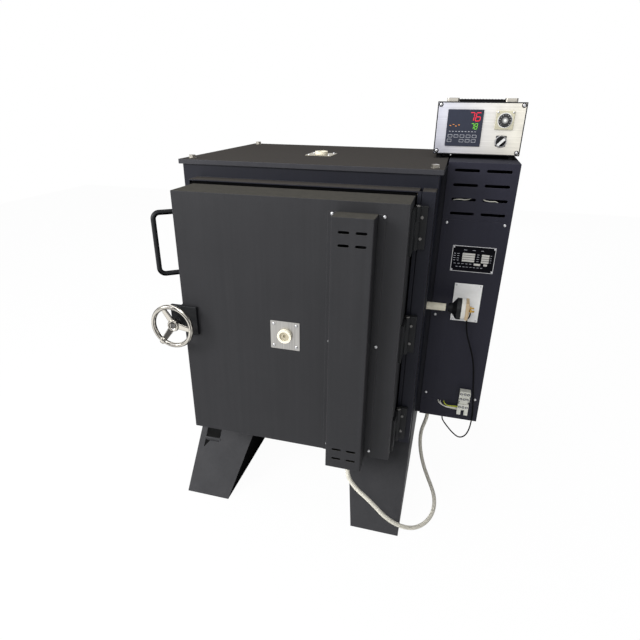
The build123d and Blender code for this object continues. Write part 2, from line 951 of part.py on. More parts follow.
# Wiring cover: a deep folded channel with side flanges and vent slots
cover_right = cover_left + cover_width
cover_middle = mid(cover_left, cover_right)
slot_rows = [
    cover_top - slot_top_margin,
    cover_top - slot_top_margin - slot_row_pitch,
    cover_bottom + slot_bottom_margin,
    cover_bottom + slot_bottom_margin + slot_row_pitch,
]
with BuildPart() as wiring_cover:
    with BuildSketch(front.offset(door_front)):
        with Locations((cover_middle, mid(cover_bottom, cover_top))):
            Rectangle(cover_width, cover_top - cover_bottom)
    extrude(amount=cover_depth)
    fillet(edges().filter_by(Axis.Z).group_by(Axis.Y)[0], radius=3)
    open_face = faces().sort_by(Axis.Y)[-1]
    offset(amount=-sheet, openings=open_face)
    flange_span = cover_top - max(cover_bottom, door_bottom)
    with BuildSketch(front.offset(door_front)):
        for x in (cover_left - cover_flange / 2, cover_right + cover_flange / 2):
            with Locations((x, cover_top - flange_span / 2)):
                Rectangle(cover_flange, flange_span)
    extrude(amount=sheet)
    with BuildSketch(front.offset(cover_front)):
        for row_z in slot_rows:
            with Locations((cover_middle - slot_spacing / 2, row_z), (cover_middle + slot_spacing / 2, row_z)):
                SlotOverall(slot_length, slot_height)
    extrude(amount=-2 * sheet, mode=Mode.SUBTRACT)
    with BuildSketch(floor.offset(cover_bottom)):
        with Locations((hose_out_x, hose_out_y)):
            Circle(hose_radius + fit_gap)
    extrude(amount=sheet, mode=Mode.SUBTRACT)
wiring_cover.part.label = "wiring_cover"
export_step(wiring_cover.part, "parts/wiring_cover.step")

# Spyhole: plate, ceramic tube and plug
with BuildPart() as spyhole_plate:
    with BuildSketch(front.offset(door_front)):
        with Locations((spyhole_x, spyhole_z)):
            RectangleRounded(port_plate, port_plate, 2)
            Circle(port_tube_radius + port_clearance, mode=Mode.SUBTRACT)
    extrude(amount=port_plate_sheet)
spyhole_plate.part.label = "spyhole_plate"
export_step(spyhole_plate.part, "parts/spyhole_plate.step")

with BuildPart() as spyhole_tube:
    with BuildSketch(front.offset(door_front + port_rise)):
        with Locations((spyhole_x, spyhole_z)):
            Circle(port_tube_radius)
            Circle(port_bore_radius, mode=Mode.SUBTRACT)
    extrude(amount=-(door_front + port_rise) - plug_face)
spyhole_tube.part.label = "spyhole_tube"
export_step(spyhole_tube.part, "parts/spyhole_tube.step")

spyhole_mouth = Plane(front.offset(door_front + port_rise).location * Pos(spyhole_x, spyhole_z))
spyhole_plug = port_plug(spyhole_mouth)
spyhole_plug.part.label = "spyhole_plug"
export_step(spyhole_plug.part, "parts/spyhole_plug.step")

# Pull handle: one bent bar that stands off the door's left side, with a rose at each end
handle_lean = (handle_y - handle_root_y) / (door_left - handle_x)
root_x = door_left + handle_radius
root_y = -handle_root_y + handle_lean * handle_radius
with BuildPart() as pull_handle:
    with BuildLine(floor) as grip:
        FilletPolyline(
            (root_x, root_y, handle_bottom),
            (handle_x, -handle_y, handle_bottom),
            (handle_x, -handle_y, handle_top),
            (root_x, root_y, handle_top),
            radius=handle_bend,
        )
    with BuildSketch(Plane(origin=grip.line @ 0, z_dir=grip.line % 0)):
        Circle(handle_radius)
    sweep()
    with BuildSketch(side.offset(door_left)):
        with Locations((-handle_root_y, handle_bottom), (-handle_root_y, handle_top)):
            Circle(handle_rose_radius)
    extrude(amount=-handle_rose)
    with BuildSketch(side.offset(door_left)):
        with Locations((-handle_root_y, handle_bottom), (-handle_root_y, handle_top)):
            Circle(2 * handle_rose_radius)
    extrude(amount=2 * handle_rose_radius, mode=Mode.SUBTRACT)
pull_handle.part.label = "pull_handle"
export_step(pull_handle.part, "parts/pull_handle.step")

# Clamp bracket: a plate on the door with an arm past its edge, bored for the spindle
with BuildPart() as clamp_bracket:
    block(bracket_left, door_left, -bracket_front, -bracket_back, bracket_step, bracket_top)
    block(door_left, bracket_right, -bracket_front, -door_front, bracket_bottom, bracket_top)
    chamfer(edges().filter_by(Axis.Z).group_by(Axis.Y)[0], length=2)
    with BuildSketch(wheel.offset(bracket_front - wheel_plane)):
        Circle(spindle_radius + spindle_fit)
    extrude(amount=bracket_back - bracket_front, mode=Mode.SUBTRACT)
clamp_bracket.part.label = "clamp_bracket"
export_step(clamp_bracket.part, "parts/clamp_bracket.step")

# Collar that the wheel pushes against the bracket without turning
with BuildPart() as clamp_collar:
    with BuildSketch(wheel.offset(collar_back - wheel_plane)):
        Circle(collar_radius)
        Circle(spindle_radius + spindle_fit, mode=Mode.SUBTRACT)
    extrude(amount=collar_thickness)
clamp_collar.part.label = "clamp_collar"
export_step(clamp_collar.part, "parts/clamp_collar.step")

# Handwheel: round rim, dished hub and three tapered spokes, with a boss for a turning handle
rim_centre = wheel_radius - rim_radius
with BuildPart() as handwheel:
    with BuildSketch(Plane(origin=wheel.origin, x_dir=wheel.x_dir, z_dir=(0, 0, 1))):
        with Locations((rim_centre, 0)):
            Circle(rim_radius)
    revolve(axis=Axis(wheel.origin, wheel.z_dir))
    with BuildSketch(wheel.offset(hub_back - wheel_plane)):
        Circle(hub_skirt)
    extrude(amount=hub_front - hub_back, taper=10)
    for angle in spoke_angles:
        radial = Vector(cos(radians(angle)), 0, sin(radians(angle)))
        root = Plane(origin=wheel.offset(hub_back - wheel_plane + spoke_thickness).origin, z_dir=radial)
        root = Plane(origin=root.origin + radial * hub_radius * 0.7, x_dir=(0, -1, 0), z_dir=radial)
        tip = Plane(origin=wheel.origin + radial * rim_centre, x_dir=(0, -1, 0), z_dir=radial)
        with BuildSketch(root):
            RectangleRounded(spoke_thickness, spoke_width, 2.5)
        with BuildSketch(tip):
            RectangleRounded(spoke_thickness, spoke_tip, 2.5)
        loft()
    with BuildSketch(wheel):
        boss = (rim_centre * cos(radians(boss_angle)), rim_centre * sin(radians(boss_angle)))
        with Locations(boss):
            Circle(boss_radius)
    extrude(amount=rim_radius + 0.6)
    with BuildSketch(wheel.offset(hub_front - wheel_plane)):
        Rectangle(hub_square + 2 * square_fit, hub_square + 2 * square_fit)
    extrude(amount=hub_back - hub_front, mode=Mode.SUBTRACT)
handwheel.part.label = "handwheel"
export_step(handwheel.part, "parts/handwheel.step")

# Spindle: a square head in the wheel and a screw that stops short of the nut at rest
with BuildPart() as clamp_spindle:
    with BuildSketch(wheel.offset(hub_front - square_recess - wheel_plane)):
        Rectangle(hub_square, hub_square)
    extrude(amount=-(hub_front - square_recess - hub_back))
    with BuildSketch(wheel.offset(hub_back - wheel_plane)):
        Circle(spindle_radius)
    extrude(amount=-(hub_back - spindle_tip))
    chamfer(faces().sort_by(Axis.Y)[-1].edges(), length=tip_chamfer)
clamp_spindle.part.label = "clamp_spindle"
export_step(clamp_spindle.part, "parts/clamp_spindle.step")

# Nut plate, on a block that reaches forward from the front plate beside the collar
with BuildPart() as clamp_nut:
    block(
        nut_left,
        nut_right,
        -nut_thickness,
        0,
        spindle_z - nut_height / 2,
        spindle_z + nut_height / 2,
    )
    chamfer(edges().filter_by(Axis.Z).group_by(Axis.Y)[0], length=2)
    block(
        nut_left,
        -collar_x - fit_gap,
        0,
        frame_depth,
        spindle_z - nut_height / 2,
        spindle_z + nut_height / 2,
    )
    with BuildSketch(wheel.offset(nut_thickness - wheel_plane)):
        Circle(spindle_radius + spindle_fit)
    extrude(amount=-nut_thickness, mode=Mode.SUBTRACT)
clamp_nut.part.label = "clamp_nut"
export_step(clamp_nut.part, "parts/clamp_nut.step")

# Thermocouple: ceramic tube, flared head and ceramic terminal disc
with BuildPart() as thermocouple_tube:
    with BuildSketch(probe.offset(probe_reach)):
        Circle(probe_radius)
    extrude(amount=probe_end - probe_reach)
    fillet(faces().sort_by(Axis.X)[0].edges(), radius=probe_radius * 0.6)
thermocouple_tube.part.label = "thermocouple_tube"
export_step(thermocouple_tube.part, "parts/thermocouple_tube.step")

with BuildPart() as thermocouple_head:
    with BuildSketch(Plane(origin=probe.origin, x_dir=(1, 0, 0), z_dir=(0, -1, 0))):
        with BuildLine():
            Polyline(
                (head_start, 0),
                (head_start, neck_radius),
                (mid(head_start, head_end) - 6, neck_radius + 3),
                (mid(head_start, head_end) + 6, head_radius),
                (head_end, head_radius),
                (head_end, 0),
                close=True,
            )
        make_face()
    revolve(axis=Axis(probe.origin, (1, 0, 0)))
    with BuildSketch(probe.offset(probe_end)):
        with Locations((-rod_spacing / 2, 0), (rod_spacing / 2, 0)):
            Circle(rod_radius)
    extrude(amount=head_start - probe_end)
thermocouple_head.part.label = "thermocouple_head"
export_step(thermocouple_head.part, "parts/thermocouple_head.step")

with BuildPart() as terminal_disc:
    with BuildSketch(probe.offset(head_end)):
        Circle(disc_radius)
    extrude(amount=disc_thickness)
    chamfer(faces().sort_by(Axis.X)[-1].edges(), length=1.5)
terminal_disc.part.label = "terminal_disc"
export_step(terminal_disc.part, "parts/terminal_disc.step")

# Cabinet: a box open at the front, with a louvred cover, a plain cover and a base cover
with BuildPart() as cabinet_shell:
    block(cabinet_left, cabinet_right, cabinet_front + sheet, cabinet_back, cabinet_bottom, cabinet_top)
    mouth = faces().sort_by(Axis.Y)[0]
    offset(amount=-sheet, openings=mouth)
    with BuildSketch(floor.offset(cabinet_bottom)):
        with Locations((hose_in_x, hose_in_y)):
            Circle(hose_radius + fit_gap)
        with Locations((lead_in_x, hose_in_y)):
            Circle(lead_radius + fit_gap)
    extrude(amount=sheet, mode=Mode.SUBTRACT)
cabinet_shell.part.label = "cabinet_shell"
export_step(cabinet_shell.part, "parts/cabinet_shell.step")

cabinet_middle = mid(cabinet_left, cabinet_right)
louvre_bottom = cabinet_top - louvre_height
with BuildPart() as louvre_cover:
    block(
        cabinet_left,
        cabinet_right,
        cabinet_front,
        cabinet_front + sheet,
        louvre_bottom,
        cabinet_top,
    )
    with BuildSketch(front.offset(-cabinet_front)):
        for row in range(louvre_rows):
            row_z = cabinet_top - louvre_first - row * louvre_row_pitch
            with Locations((cabinet_middle, row_z)):
                with GridLocations(louvre_spacing, 1, 2, 1):
                    SlotOverall(louvre_length, louvre_open)
    extrude(amount=-sheet, mode=Mode.SUBTRACT)
louvre_cover.part.label = "louvre_cover"
export_step(louvre_cover.part, "parts/louvre_cover.step")

with BuildPart() as cabinet_front_cover:
    block(
        cabinet_left,
        cabinet_right,
        cabinet_front,
        cabinet_front + sheet,
        cabinet_bottom + base_height + seam,
        louvre_bottom - seam,
    )
cabinet_front_cover.part.label = "cabinet_front_cover"
export_step(cabinet_front_cover.part, "parts/cabinet_front_cover.step")

with BuildPart() as cabinet_base_cover:
    block(
        cabinet_left,
        cabinet_right,
        cabinet_front,
        cabinet_front + sheet,
        cabinet_bottom,
        cabinet_bottom + base_height,
    )
cabinet_base_cover.part.label = "cabinet_base_cover"
export_step(cabinet_base_cover.part, "parts/cabinet_base_cover.step")

# Upright channels that hold the cabinet off the hot wall
with BuildPart() as cabinet_rails:
    front_rail = cabinet_front + rail_setback
    back_rail = cabinet_back - rail_setback - rail_depth
    for rail_y in (front_rail, back_rail):
        block(wall_x, cabinet_left, rail_y, rail_y + rail_depth, body_bottom, body_top)
        block(
            wall_x + sheet,
            cabinet_left - sheet,
            rail_y + sheet,
            rail_y + rail_depth,
            body_bottom,
            body_top,
            mode=Mode.SUBTRACT,
        )
cabinet_rails.part.label = "cabinet_rails"
export_step(cabinet_rails.part, "parts/cabinet_rails.step")

with BuildPart() as contactor:
    contactor_back = cabinet_back - sheet
    block(
        cabinet_middle - contactor_width / 2,
        cabinet_middle + contactor_width / 2,
        contactor_back - contactor_depth * 0.6,
        contactor_back,
        mid(cabinet_bottom, cabinet_top) - contactor_height / 2,
        mid(cabinet_bottom, cabinet_top) + contactor_height / 2,
    )
    with BuildSketch(front.offset(-(contactor_back - contactor_depth * 0.6))):
        with Locations((cabinet_middle, mid(cabinet_bottom, cabinet_top))):
            Rectangle(contactor_width, contactor_height * 0.5)
    extrude(amount=contactor_depth * 0.4)
contactor.part.label = "contactor"
export_step(contactor.part, "parts/contactor.step")

# Terminal block: two stacked bodies on a pair of feet
terminal_y = cabinet_front - terminal_depth
with BuildPart() as terminal_block:
    foot_top = terminal_bottom + terminal_foot
    for foot_side in (-1, 1):
        foot_x = terminal_x + foot_side * terminal_width / 3
        block(foot_x - 6, foot_x + 6, terminal_y + 6, cabinet_front, terminal_bottom, foot_top)
    block(
        terminal_x - terminal_width / 2,
        terminal_x + terminal_width / 2,
        terminal_y + 4,
        cabinet_front,
        foot_top,
        foot_top + terminal_mid,
    )
    block(
        terminal_x - terminal_width / 2 + 4,
        terminal_x + terminal_width / 2 - 4,
        terminal_y + 8,
        cabinet_front,
        foot_top + terminal_mid,
        foot_top + 2 * terminal_mid - 8,
    )
    block(
        terminal_x - terminal_width / 2,
        terminal_x + terminal_width / 2,
        terminal_y,
        cabinet_front,
        foot_top + 2 * terminal_mid - 8,
        foot_top + 2 * terminal_mid - 8 + terminal_top_height,
    )
terminal_block.part.label = "terminal_block"
export_step(terminal_block.part, "parts/terminal_block.step")

# Cable glands under the cabinet and under the wiring cover
with BuildPart() as cabinet_glands:
    with BuildSketch(floor.offset(cabinet_bottom)):
        with Locations((hose_in_x, hose_in_y)):
            Circle(gland_radius)
        with Locations((lead_in_x, hose_in_y)):
            Circle(lead_gland_radius)
    extrude(amount=-gland_height)
cabinet_glands.part.label = "cabinet_glands"
export_step(cabinet_glands.part, "parts/cabinet_glands.step")

with BuildPart() as hose_gland:
    with BuildSketch(floor.offset(cover_bottom)):
        with Locations((hose_out_x, hose_out_y)):
            Circle(gland_radius)
    extrude(amount=-gland_height)
hose_gland.part.label = "hose_gland"
export_step(hose_gland.part, "parts/hose_gland.step")

# Control case on rubber feet, with its panel
case_middle = mid(case_left, case_right)
case_middle_z = mid(case_bottom, case_top)
case_back = case_front + case_depth
controller_middle = (controller_left + controller_size / 2, controller_top - controller_size / 2)
with BuildPart() as control_case:
    block(case_left, case_right, case_front, case_back, case_bottom, case_top)
    case_mouth = faces().sort_by(Axis.Y)[0]
    offset(amount=-sheet * 1.5, openings=case_mouth)
control_case.part.label = "control_case"
export_step(control_case.part, "parts/control_case.step")

with BuildPart() as case_feet:
    with BuildSketch(floor.offset(lid_top)):
        for x in (case_left + foot_inset, case_right - foot_inset):
            for y in (case_front + foot_inset, case_back - foot_inset):
                with Locations((x, y)):
                    Circle(foot_radius)
    extrude(amount=foot_height)
case_feet.part.label = "case_feet"
export_step(case_feet.part, "parts/case_feet.step")

with BuildPart() as control_panel:
    with BuildSketch(front.offset(-case_front)):
        with Locations((case_middle, case_middle_z)):
            Rectangle(case_right - case_left, case_top - case_bottom)
        with Locations(controller_middle):
            Rectangle(controller_body + fit_gap, controller_body + fit_gap, mode=Mode.SUBTRACT)
        with Locations((dial_x, dial_z)):
            Rectangle(timer_body_size + fit_gap, timer_body_size + fit_gap, mode=Mode.SUBTRACT)
    extrude(amount=panel_sheet)
control_panel.part.label = "control_panel"
export_step(control_panel.part, "parts/control_panel.step")


def instrument(centre, bezel, rise, body, depth):
    """A panel instrument: a square bezel before the panel and its body behind."""
    with BuildPart() as unit:
        with BuildSketch(front.offset(-panel_front)):
            with Locations(centre):
                RectangleRounded(bezel, bezel, 2)
        extrude(amount=rise)
        chamfer(faces().sort_by(Axis.Y)[0].edges(), length=1)
        with BuildSketch(front.offset(-panel_front)):
            with Locations(centre):
                Rectangle(body, body)
        extrude(amount=-depth)
    return unit


controller = instrument(controller_middle, controller_size, controller_rise, controller_body, controller_depth)
controller.part.label = "controller"
export_step(controller.part, "parts/controller.step")

timer_body = instrument((dial_x, dial_z), timer_size, timer_rise, timer_body_size, timer_depth)
timer_body.part.label = "timer_body"
export_step(timer_body.part, "parts/timer_body.step")

with BuildPart() as timer_dial:
    dial_face = panel_front - timer_rise - turn_gap
    with BuildSketch(front.offset(-dial_face)):
        with Locations((dial_x, dial_z)):
            Circle(dial_radius)
    extrude(amount=dial_thickness)
    chamfer(faces().sort_by(Axis.Y)[0].edges(), length=1)
    with BuildSketch(front.offset(-dial_face + dial_thickness)):
        with Locations((dial_x, dial_z)):
            Circle(dial_knob_radius)
    extrude(amount=dial_knob)
timer_dial.part.label = "timer_dial"
export_step(timer_dial.part, "parts/timer_dial.step")

with BuildPart() as switch_plate:
    with BuildSketch(front.offset(-panel_front)):
        with Locations((switch_x, switch_z)):
            RectangleRounded(switch_plate_size, switch_plate_size, 2)
    extrude(amount=switch_plate_rise)
switch_plate.part.label = "switch_plate"
export_step(switch_plate.part, "parts/switch_plate.step")

with BuildPart() as switch_knob:
    knob_face = panel_front - switch_plate_rise - turn_gap
    with BuildSketch(front.offset(-knob_face)):
        with Locations((switch_x, switch_z)):
            Circle(knob_radius)
    extrude(amount=knob_base)
    chamfer(faces().sort_by(Axis.Y)[0].edges(), length=1)
    with BuildSketch(front.offset(-knob_face + knob_base)):
        with Locations(Location((switch_x, switch_z), 45)):
            SlotOverall(2 * knob_radius - 3, knob_grip_width)
    extrude(amount=knob_grip)
switch_knob.part.label = "switch_knob"
export_step(switch_knob.part, "parts/switch_knob.step")

# Carrying strap between two caps on top of the case
with BuildPart() as strap_handle:
    with BuildSketch(floor.offset(case_top + strap_rise)):
        with Locations((mid(strap_left, strap_right), strap_y)):
            Rectangle(strap_right - strap_left - 2 * strap_cap + 2 * foot_inset, strap_width)
    extrude(amount=strap_thickness)
strap_handle.part.label = "strap_handle"
export_step(strap_handle.part, "parts/strap_handle.step")

cap_height = strap_rise + strap_thickness + 2 * sheet
with BuildPart() as strap_caps:
    for cap_x in (strap_left + strap_cap / 2, strap_right - strap_cap / 2):
        with BuildSketch(floor.offset(case_top)):
            with Locations((cap_x, strap_y)):
                RectangleRounded(strap_cap, strap_width + 6, 6)
        extrude(amount=cap_height)
    chamfer(faces().sort_by(Axis.Z)[-1].edges(), length=1)
    add(strap_handle.part, mode=Mode.SUBTRACT)
strap_caps.part.label = "strap_caps"
export_step(strap_caps.part, "parts/strap_caps.step")

# Hose from the door's wiring cover to the cabinet, lying on the floor beside the right trestle
hose_route = [
    (hose_out_x, hose_out_y, cover_bottom - gland_height),
    (hose_out_x, hose_out_y, cover_bottom - gland_height - hose_drop),
    (199, -151, 203),
    (221, -152, 176),
    (252, -150, 148),
    (277, -144, 117),
    (302, -138, 84),
    (332, -129, 55),
    (363, -114, 32),
    (393, -91, 14),
    (420, -60, 8),
    (439, -20, 7),
    (446, 24, 7),
    (443, 70, 7),
    (431, 113, 7),
    (416, 154, 9),
    (400, 192, 18),
    (385, 224, 42),
    (375, 246, 80),
    (374, 257, 124),
    (384, 261, 163),
    (hose_in_x, hose_in_y, cabinet_bottom - gland_height - hose_tail),
    (hose_in_x, hose_in_y, cabinet_bottom - gland_height),
]
lead_route = [
    (466, probe_y, lead_start_z),
    (467, 178, 583),
    (474, 186, 545),
    (484, 198, 507),
    (494, 210, 468),
    (503, 220, 427),
    (512, 226, 384),
    (520, 229, 340),
    (527, 230, 294),
    (532, 231, 250),
    (533, 232, 208),
    (529, 236, 171),
    (517, 241, 143),
    (497, 247, 133),
    (475, 253, 143),
    (456, 258, 161),
    (441, 262, 180),
    (lead_in_x, hose_in_y, cabinet_bottom - gland_height - lead_tail),
    (lead_in_x, hose_in_y, cabinet_bottom - gland_height),
]


def cord(route, radius):
    """A tube along a hand-set route: straight runs joined by tangent arcs."""
    points = [Vector(*point) for point in route]
    radii = []
    for before, corner, after in zip(points, points[1:], points[2:]):
        turn = radians((corner - before).get_angle(after - corner))
        shorter = min((corner - before).length, (after - corner).length)
        radii.append(0.45 * shorter / tan(turn / 2))
    with BuildPart() as tube:
        with BuildLine(floor) as centre_line:
            FilletPolyline(*route, radius=radii)
        with BuildSketch(Plane(origin=centre_line.line @ 0, z_dir=centre_line.line % 0)):
            Circle(radius)
        sweep()
    length = sum(edge.length for edge in centre_line.edges())
    print("radii", [round(value) for value in radii], "length", round(length))
    print("volume ratio", round(tube.part.volume / (pi * radius**2 * length), 4))
    return tube


white_hose = cord(hose_route, hose_radius)
white_hose.part.label = "white_hose"
export_step(white_hose.part, "parts/white_hose.step")

thermocouple_lead = cord(lead_route, lead_radius)
thermocouple_lead.part.label = "thermocouple_lead"
export_step(thermocouple_lead.part, "parts/thermocouple_lead.step")
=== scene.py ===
"""A front-loading electric kiln: materials, small fittings, cords, light and camera."""

import math

import bmesh
import bpy
from mathutils import Matrix, Vector


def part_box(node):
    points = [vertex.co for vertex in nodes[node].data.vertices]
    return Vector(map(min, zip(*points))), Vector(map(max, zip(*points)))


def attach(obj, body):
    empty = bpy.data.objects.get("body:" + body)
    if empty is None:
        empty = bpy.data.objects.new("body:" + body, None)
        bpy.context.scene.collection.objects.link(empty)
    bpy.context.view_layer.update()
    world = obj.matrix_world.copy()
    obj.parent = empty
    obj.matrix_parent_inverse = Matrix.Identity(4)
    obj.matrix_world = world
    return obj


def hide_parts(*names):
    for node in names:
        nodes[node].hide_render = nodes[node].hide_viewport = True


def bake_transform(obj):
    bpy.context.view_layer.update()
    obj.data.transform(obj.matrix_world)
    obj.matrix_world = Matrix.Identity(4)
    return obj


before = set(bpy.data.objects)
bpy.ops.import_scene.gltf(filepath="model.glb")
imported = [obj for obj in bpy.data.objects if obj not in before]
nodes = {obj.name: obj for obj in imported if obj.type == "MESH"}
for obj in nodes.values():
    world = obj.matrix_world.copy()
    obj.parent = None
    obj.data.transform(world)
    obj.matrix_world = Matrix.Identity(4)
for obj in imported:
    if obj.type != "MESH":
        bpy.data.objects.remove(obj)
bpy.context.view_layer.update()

# ---- places shared with the CAD, in metres --------------------------------

OFFSET = Vector((-0.09125, -0.23, 0.0))


def place(x, y, z):
    """A point given in millimetres from the body's middle, its front collar and the floor."""
    return Vector((x, y, z)) / 1000 + OFFSET


DOOR_Y = -120
CABINET_Y = 240
PANEL_Y = 333
FACE_Y = 325  # the controller's face
LID_Z = 1030
SHEET = 1.6
WHEEL_X, WHEEL_Z = -304, 623
HOSE_X, HOSE_Y = 190, -150  # where the hose leaves the door's cover
HOSE_RADIUS, LEAD_RADIUS = 0.00625, 0.0022
DIAL_X, DIAL_Z = 495, 1134
SWITCH_X, SWITCH_Z = 493, 1079
FRONT = (0, -1, 0)
UP = (0, 0, 1)
TO_FRONT = Matrix.Rotation(math.pi / 2, 4, "X")  # turns what stands along +Z to face the front

# ---- camera ---------------------------------------------------------------

camera_data = bpy.data.cameras.new("camera")
camera_data.sensor_fit = "HORIZONTAL"
camera_data.sensor_width = 36
camera_data.lens = 27.93
camera_data.shift_x = 0.0085
camera_data.shift_y = 0.0205
camera = bpy.data.objects.new("camera", camera_data)
camera.location = (0.2971, -1.4682, 1.1815)
camera.rotation_euler = (1.1305933, -0.0090022, 0.2711303)
bpy.context.scene.collection.objects.link(camera)
bpy.context.scene.camera = camera
bpy.context.scene.view_settings.view_transform = "Standard"

# ---- material nodes -------------------------------------------------------


def srgb(*levels):
    """Linear colour from 0 to 255 screen levels."""
    shares = [level / 255 for level in levels]
    return tuple(s / 12.92 if s <= 0.04045 else ((s + 0.055) / 1.055) ** 2.4 for s in shares)


def scaled(colour, share):
    return tuple(share * c for c in colour)


class Shader:
    """A procedural material on the object's own coordinates."""

    def __init__(self, name, metallic=0.0, coordinates="Object"):
        self.material = bpy.data.materials.new(name)
        self.material.use_nodes = True
        self.tree = self.material.node_tree
        self.surface = self.tree.nodes["Principled BSDF"]
        self.surface.inputs["Metallic"].default_value = metallic
        self.position = self.add("ShaderNodeTexCoord").outputs[coordinates]

    def add(self, kind, **settings):
        node = self.tree.nodes.new(kind)
        for key, value in settings.items():
            setattr(node, key, value)
        return node

    def link(self, source, target):
        self.tree.links.new(source, target)

    def stretched(self, scale, rotation=(0, 0, 0)):
        mapping = self.add("ShaderNodeMapping")
        mapping.inputs["Scale"].default_value = scale
        mapping.inputs["Rotation"].default_value = rotation
        self.link(self.position, mapping.inputs["Vector"])
        return mapping.outputs["Vector"]

    def noise(self, scale, detail=4.0, roughness=0.6, vector=None):
        node = self.add("ShaderNodeTexNoise")
        node.inputs["Scale"].default_value = scale
        node.inputs["Detail"].default_value = detail
        node.inputs["Roughness"].default_value = roughness
        self.link(vector or self.position, node.inputs["Vector"])
        return node.outputs["Fac"]

    def span(self, value, low, high, start=0.3, end=0.7):
        node = self.add("ShaderNodeMapRange")
        self.link(value, node.inputs["Value"])
        for key, number in (("From Min", start), ("From Max", end), ("To Min", low), ("To Max", high)):
            node.inputs[key].default_value = number
        return node.outputs["Result"]

    def blend(self, share, first, second):
        """A colour between two, each of them a colour or a socket."""
        node = self.add("ShaderNodeMix", data_type="RGBA")
        self.link(share, node.inputs["Factor"])
        for socket, colour in ((node.inputs[6], first), (node.inputs[7], second)):
            if isinstance(colour, tuple):
                socket.default_value = (*colour, 1)
            else:
                self.link(colour, socket)
        return node.outputs[2]

    def math(self, operation, first, second):
        node = self.add("ShaderNodeMath", operation=operation)
        self.link(first, node.inputs[0])
        self.link(second, node.inputs[1])
        return node.outputs["Value"]

    def parts(self, vector):
        """A vector's X, Y and Z."""
        node = self.add("ShaderNodeSeparateXYZ")
        self.link(vector, node.inputs["Vector"])
        return node.outputs

    def finish(self, colour, rough, height=None, distance=0.0, strength=1.0, normal=None):
        """Set the colour and roughness, and a bump where there is a height, and give the material."""
        self.link(colour, self.surface.inputs["Base Color"])
        self.link(rough, self.surface.inputs["Roughness"])
        if height:
            node = self.add("ShaderNodeBump")
            if normal:
                self.link(normal, node.inputs["Normal"])
            node.inputs["Strength"].default_value = strength
            node.inputs["Distance"].default_value = distance
            self.link(height, node.inputs["Height"])
            self.link(node.outputs["Normal"], self.surface.inputs["Normal"])
        return self.material


def paint(name, base, dust_and_top_light, low, high, gloss=0.2):
    """Powder coat with a faint orange peel and clouding; dust with painted top light where it faces up,
    painted shade beneath and on right-facing faces, and a painted highlight along the edges.
    """
    shader = Shader(name)
    clouds = shader.noise(5, 6)
    fine = shader.noise(260, 3)
    streaks = shader.noise(1.0, 4, 0.6, shader.stretched((90, 90, 2.5)))
    coat = shader.blend(shader.span(clouds, 0, 1), base, scaled(base, 1.16))
    coat = shader.blend(shader.span(streaks, 0, 0.6), coat, scaled(base, 0.84))
    coat = shader.blend(shader.span(fine, 0, 0.35), coat, scaled(base, 0.8))
    flat = shader.add("ShaderNodeNewGeometry").outputs["Normal"]
    normal = shader.parts(flat)
    bend = shader.add("ShaderNodeBevel", samples=4)
    bend.inputs["Radius"].default_value = 0.0016
    turn = shader.add("ShaderNodeVectorMath", operation="DOT_PRODUCT")
    shader.link(bend.outputs["Normal"], turn.inputs[0])
    shader.link(flat, turn.inputs[1])
    # Lighter along the edges: a painted highlight where the bends would catch the light.
    edge_highlight = shader.span(turn.outputs["Value"], 0.5, 0, 0.86, 0.985)
    coat = shader.blend(edge_highlight, coat, tuple(2.6 * c + 0.02 for c in base))
    # Painted shade: faces turned down get a far darker coat (a fifth of the base), and they also lose their
    # gloss.
    under = shader.span(normal["Z"], 1, 0, -0.15, -0.04)
    coat = shader.blend(under, coat, scaled(base, 0.2))
    top_gloss = shader.span(normal["Z"], gloss, 0, 0.3, 0.9)
    # Painted shade: faces turned to the right lose most of their gloss, so that side reads dark.
    right_side_shade_gloss = shader.span(normal["X"], 1, 0.28, 0.3, 0.9)
    underside_shade_gloss = shader.span(normal["Z"], 0, 1, -0.15, -0.04)
    shine = shader.math("MULTIPLY", shader.math("MULTIPLY", top_gloss, right_side_shade_gloss), underside_shade_gloss)
    shader.link(shine, shader.surface.inputs["Specular IOR Level"])
    # Up-facing faces take a lighter, warmer tone in patches: dust, together with painted light from above.
    upward = shader.span(normal["Z"], 0, 1, 0.6, 1.0)
    specks = shader.span(shader.noise(64, 8, 0.75), 0.55, 0.95)
    coat = shader.blend(shader.math("MULTIPLY", upward, specks), coat, dust_and_top_light)
    rough = shader.span(shader.noise(14, 5), low, high)
    return shader.finish(coat, rough, shader.noise(900, 2), 0.00012, 0.35, bend.outputs["Normal"])


def metal(name, base, dark, low, high, grain=None, reflection_tints=None):
    """Bare metal with a brushed grain, or a cast or plated skin where grain is left out.

    The optional tints paint a reflection: two tints and the two places on X where they start and end, a
    cool-to-warm shift across the face that stands in for the surroundings mirrored in it.
    """
    shader = Shader(name, metallic=1.0)
    vector = shader.stretched(grain) if grain else shader.position
    lines = shader.noise(1.0 if grain else 60, 5, 0.7, vector)
    skin = shader.blend(shader.span(lines, 0, 1), base, dark)
    if reflection_tints:
        cool, warm, start, end = reflection_tints
        across = shader.parts(shader.position)
        tint = shader.blend(shader.span(across["X"], 0, 1, start, end), cool, warm)
        product = shader.add("ShaderNodeMix", data_type="RGBA", blend_type="MULTIPLY")
        product.inputs["Factor"].default_value = 1.0
        shader.link(skin, product.inputs[6])
        shader.link(tint, product.inputs[7])
        skin = product.outputs[2]
    rough = shader.span(shader.noise(22, 6), low, high)
    return shader.finish(skin, rough, lines, 0.00006 if grain else 0.00003, 0.5)


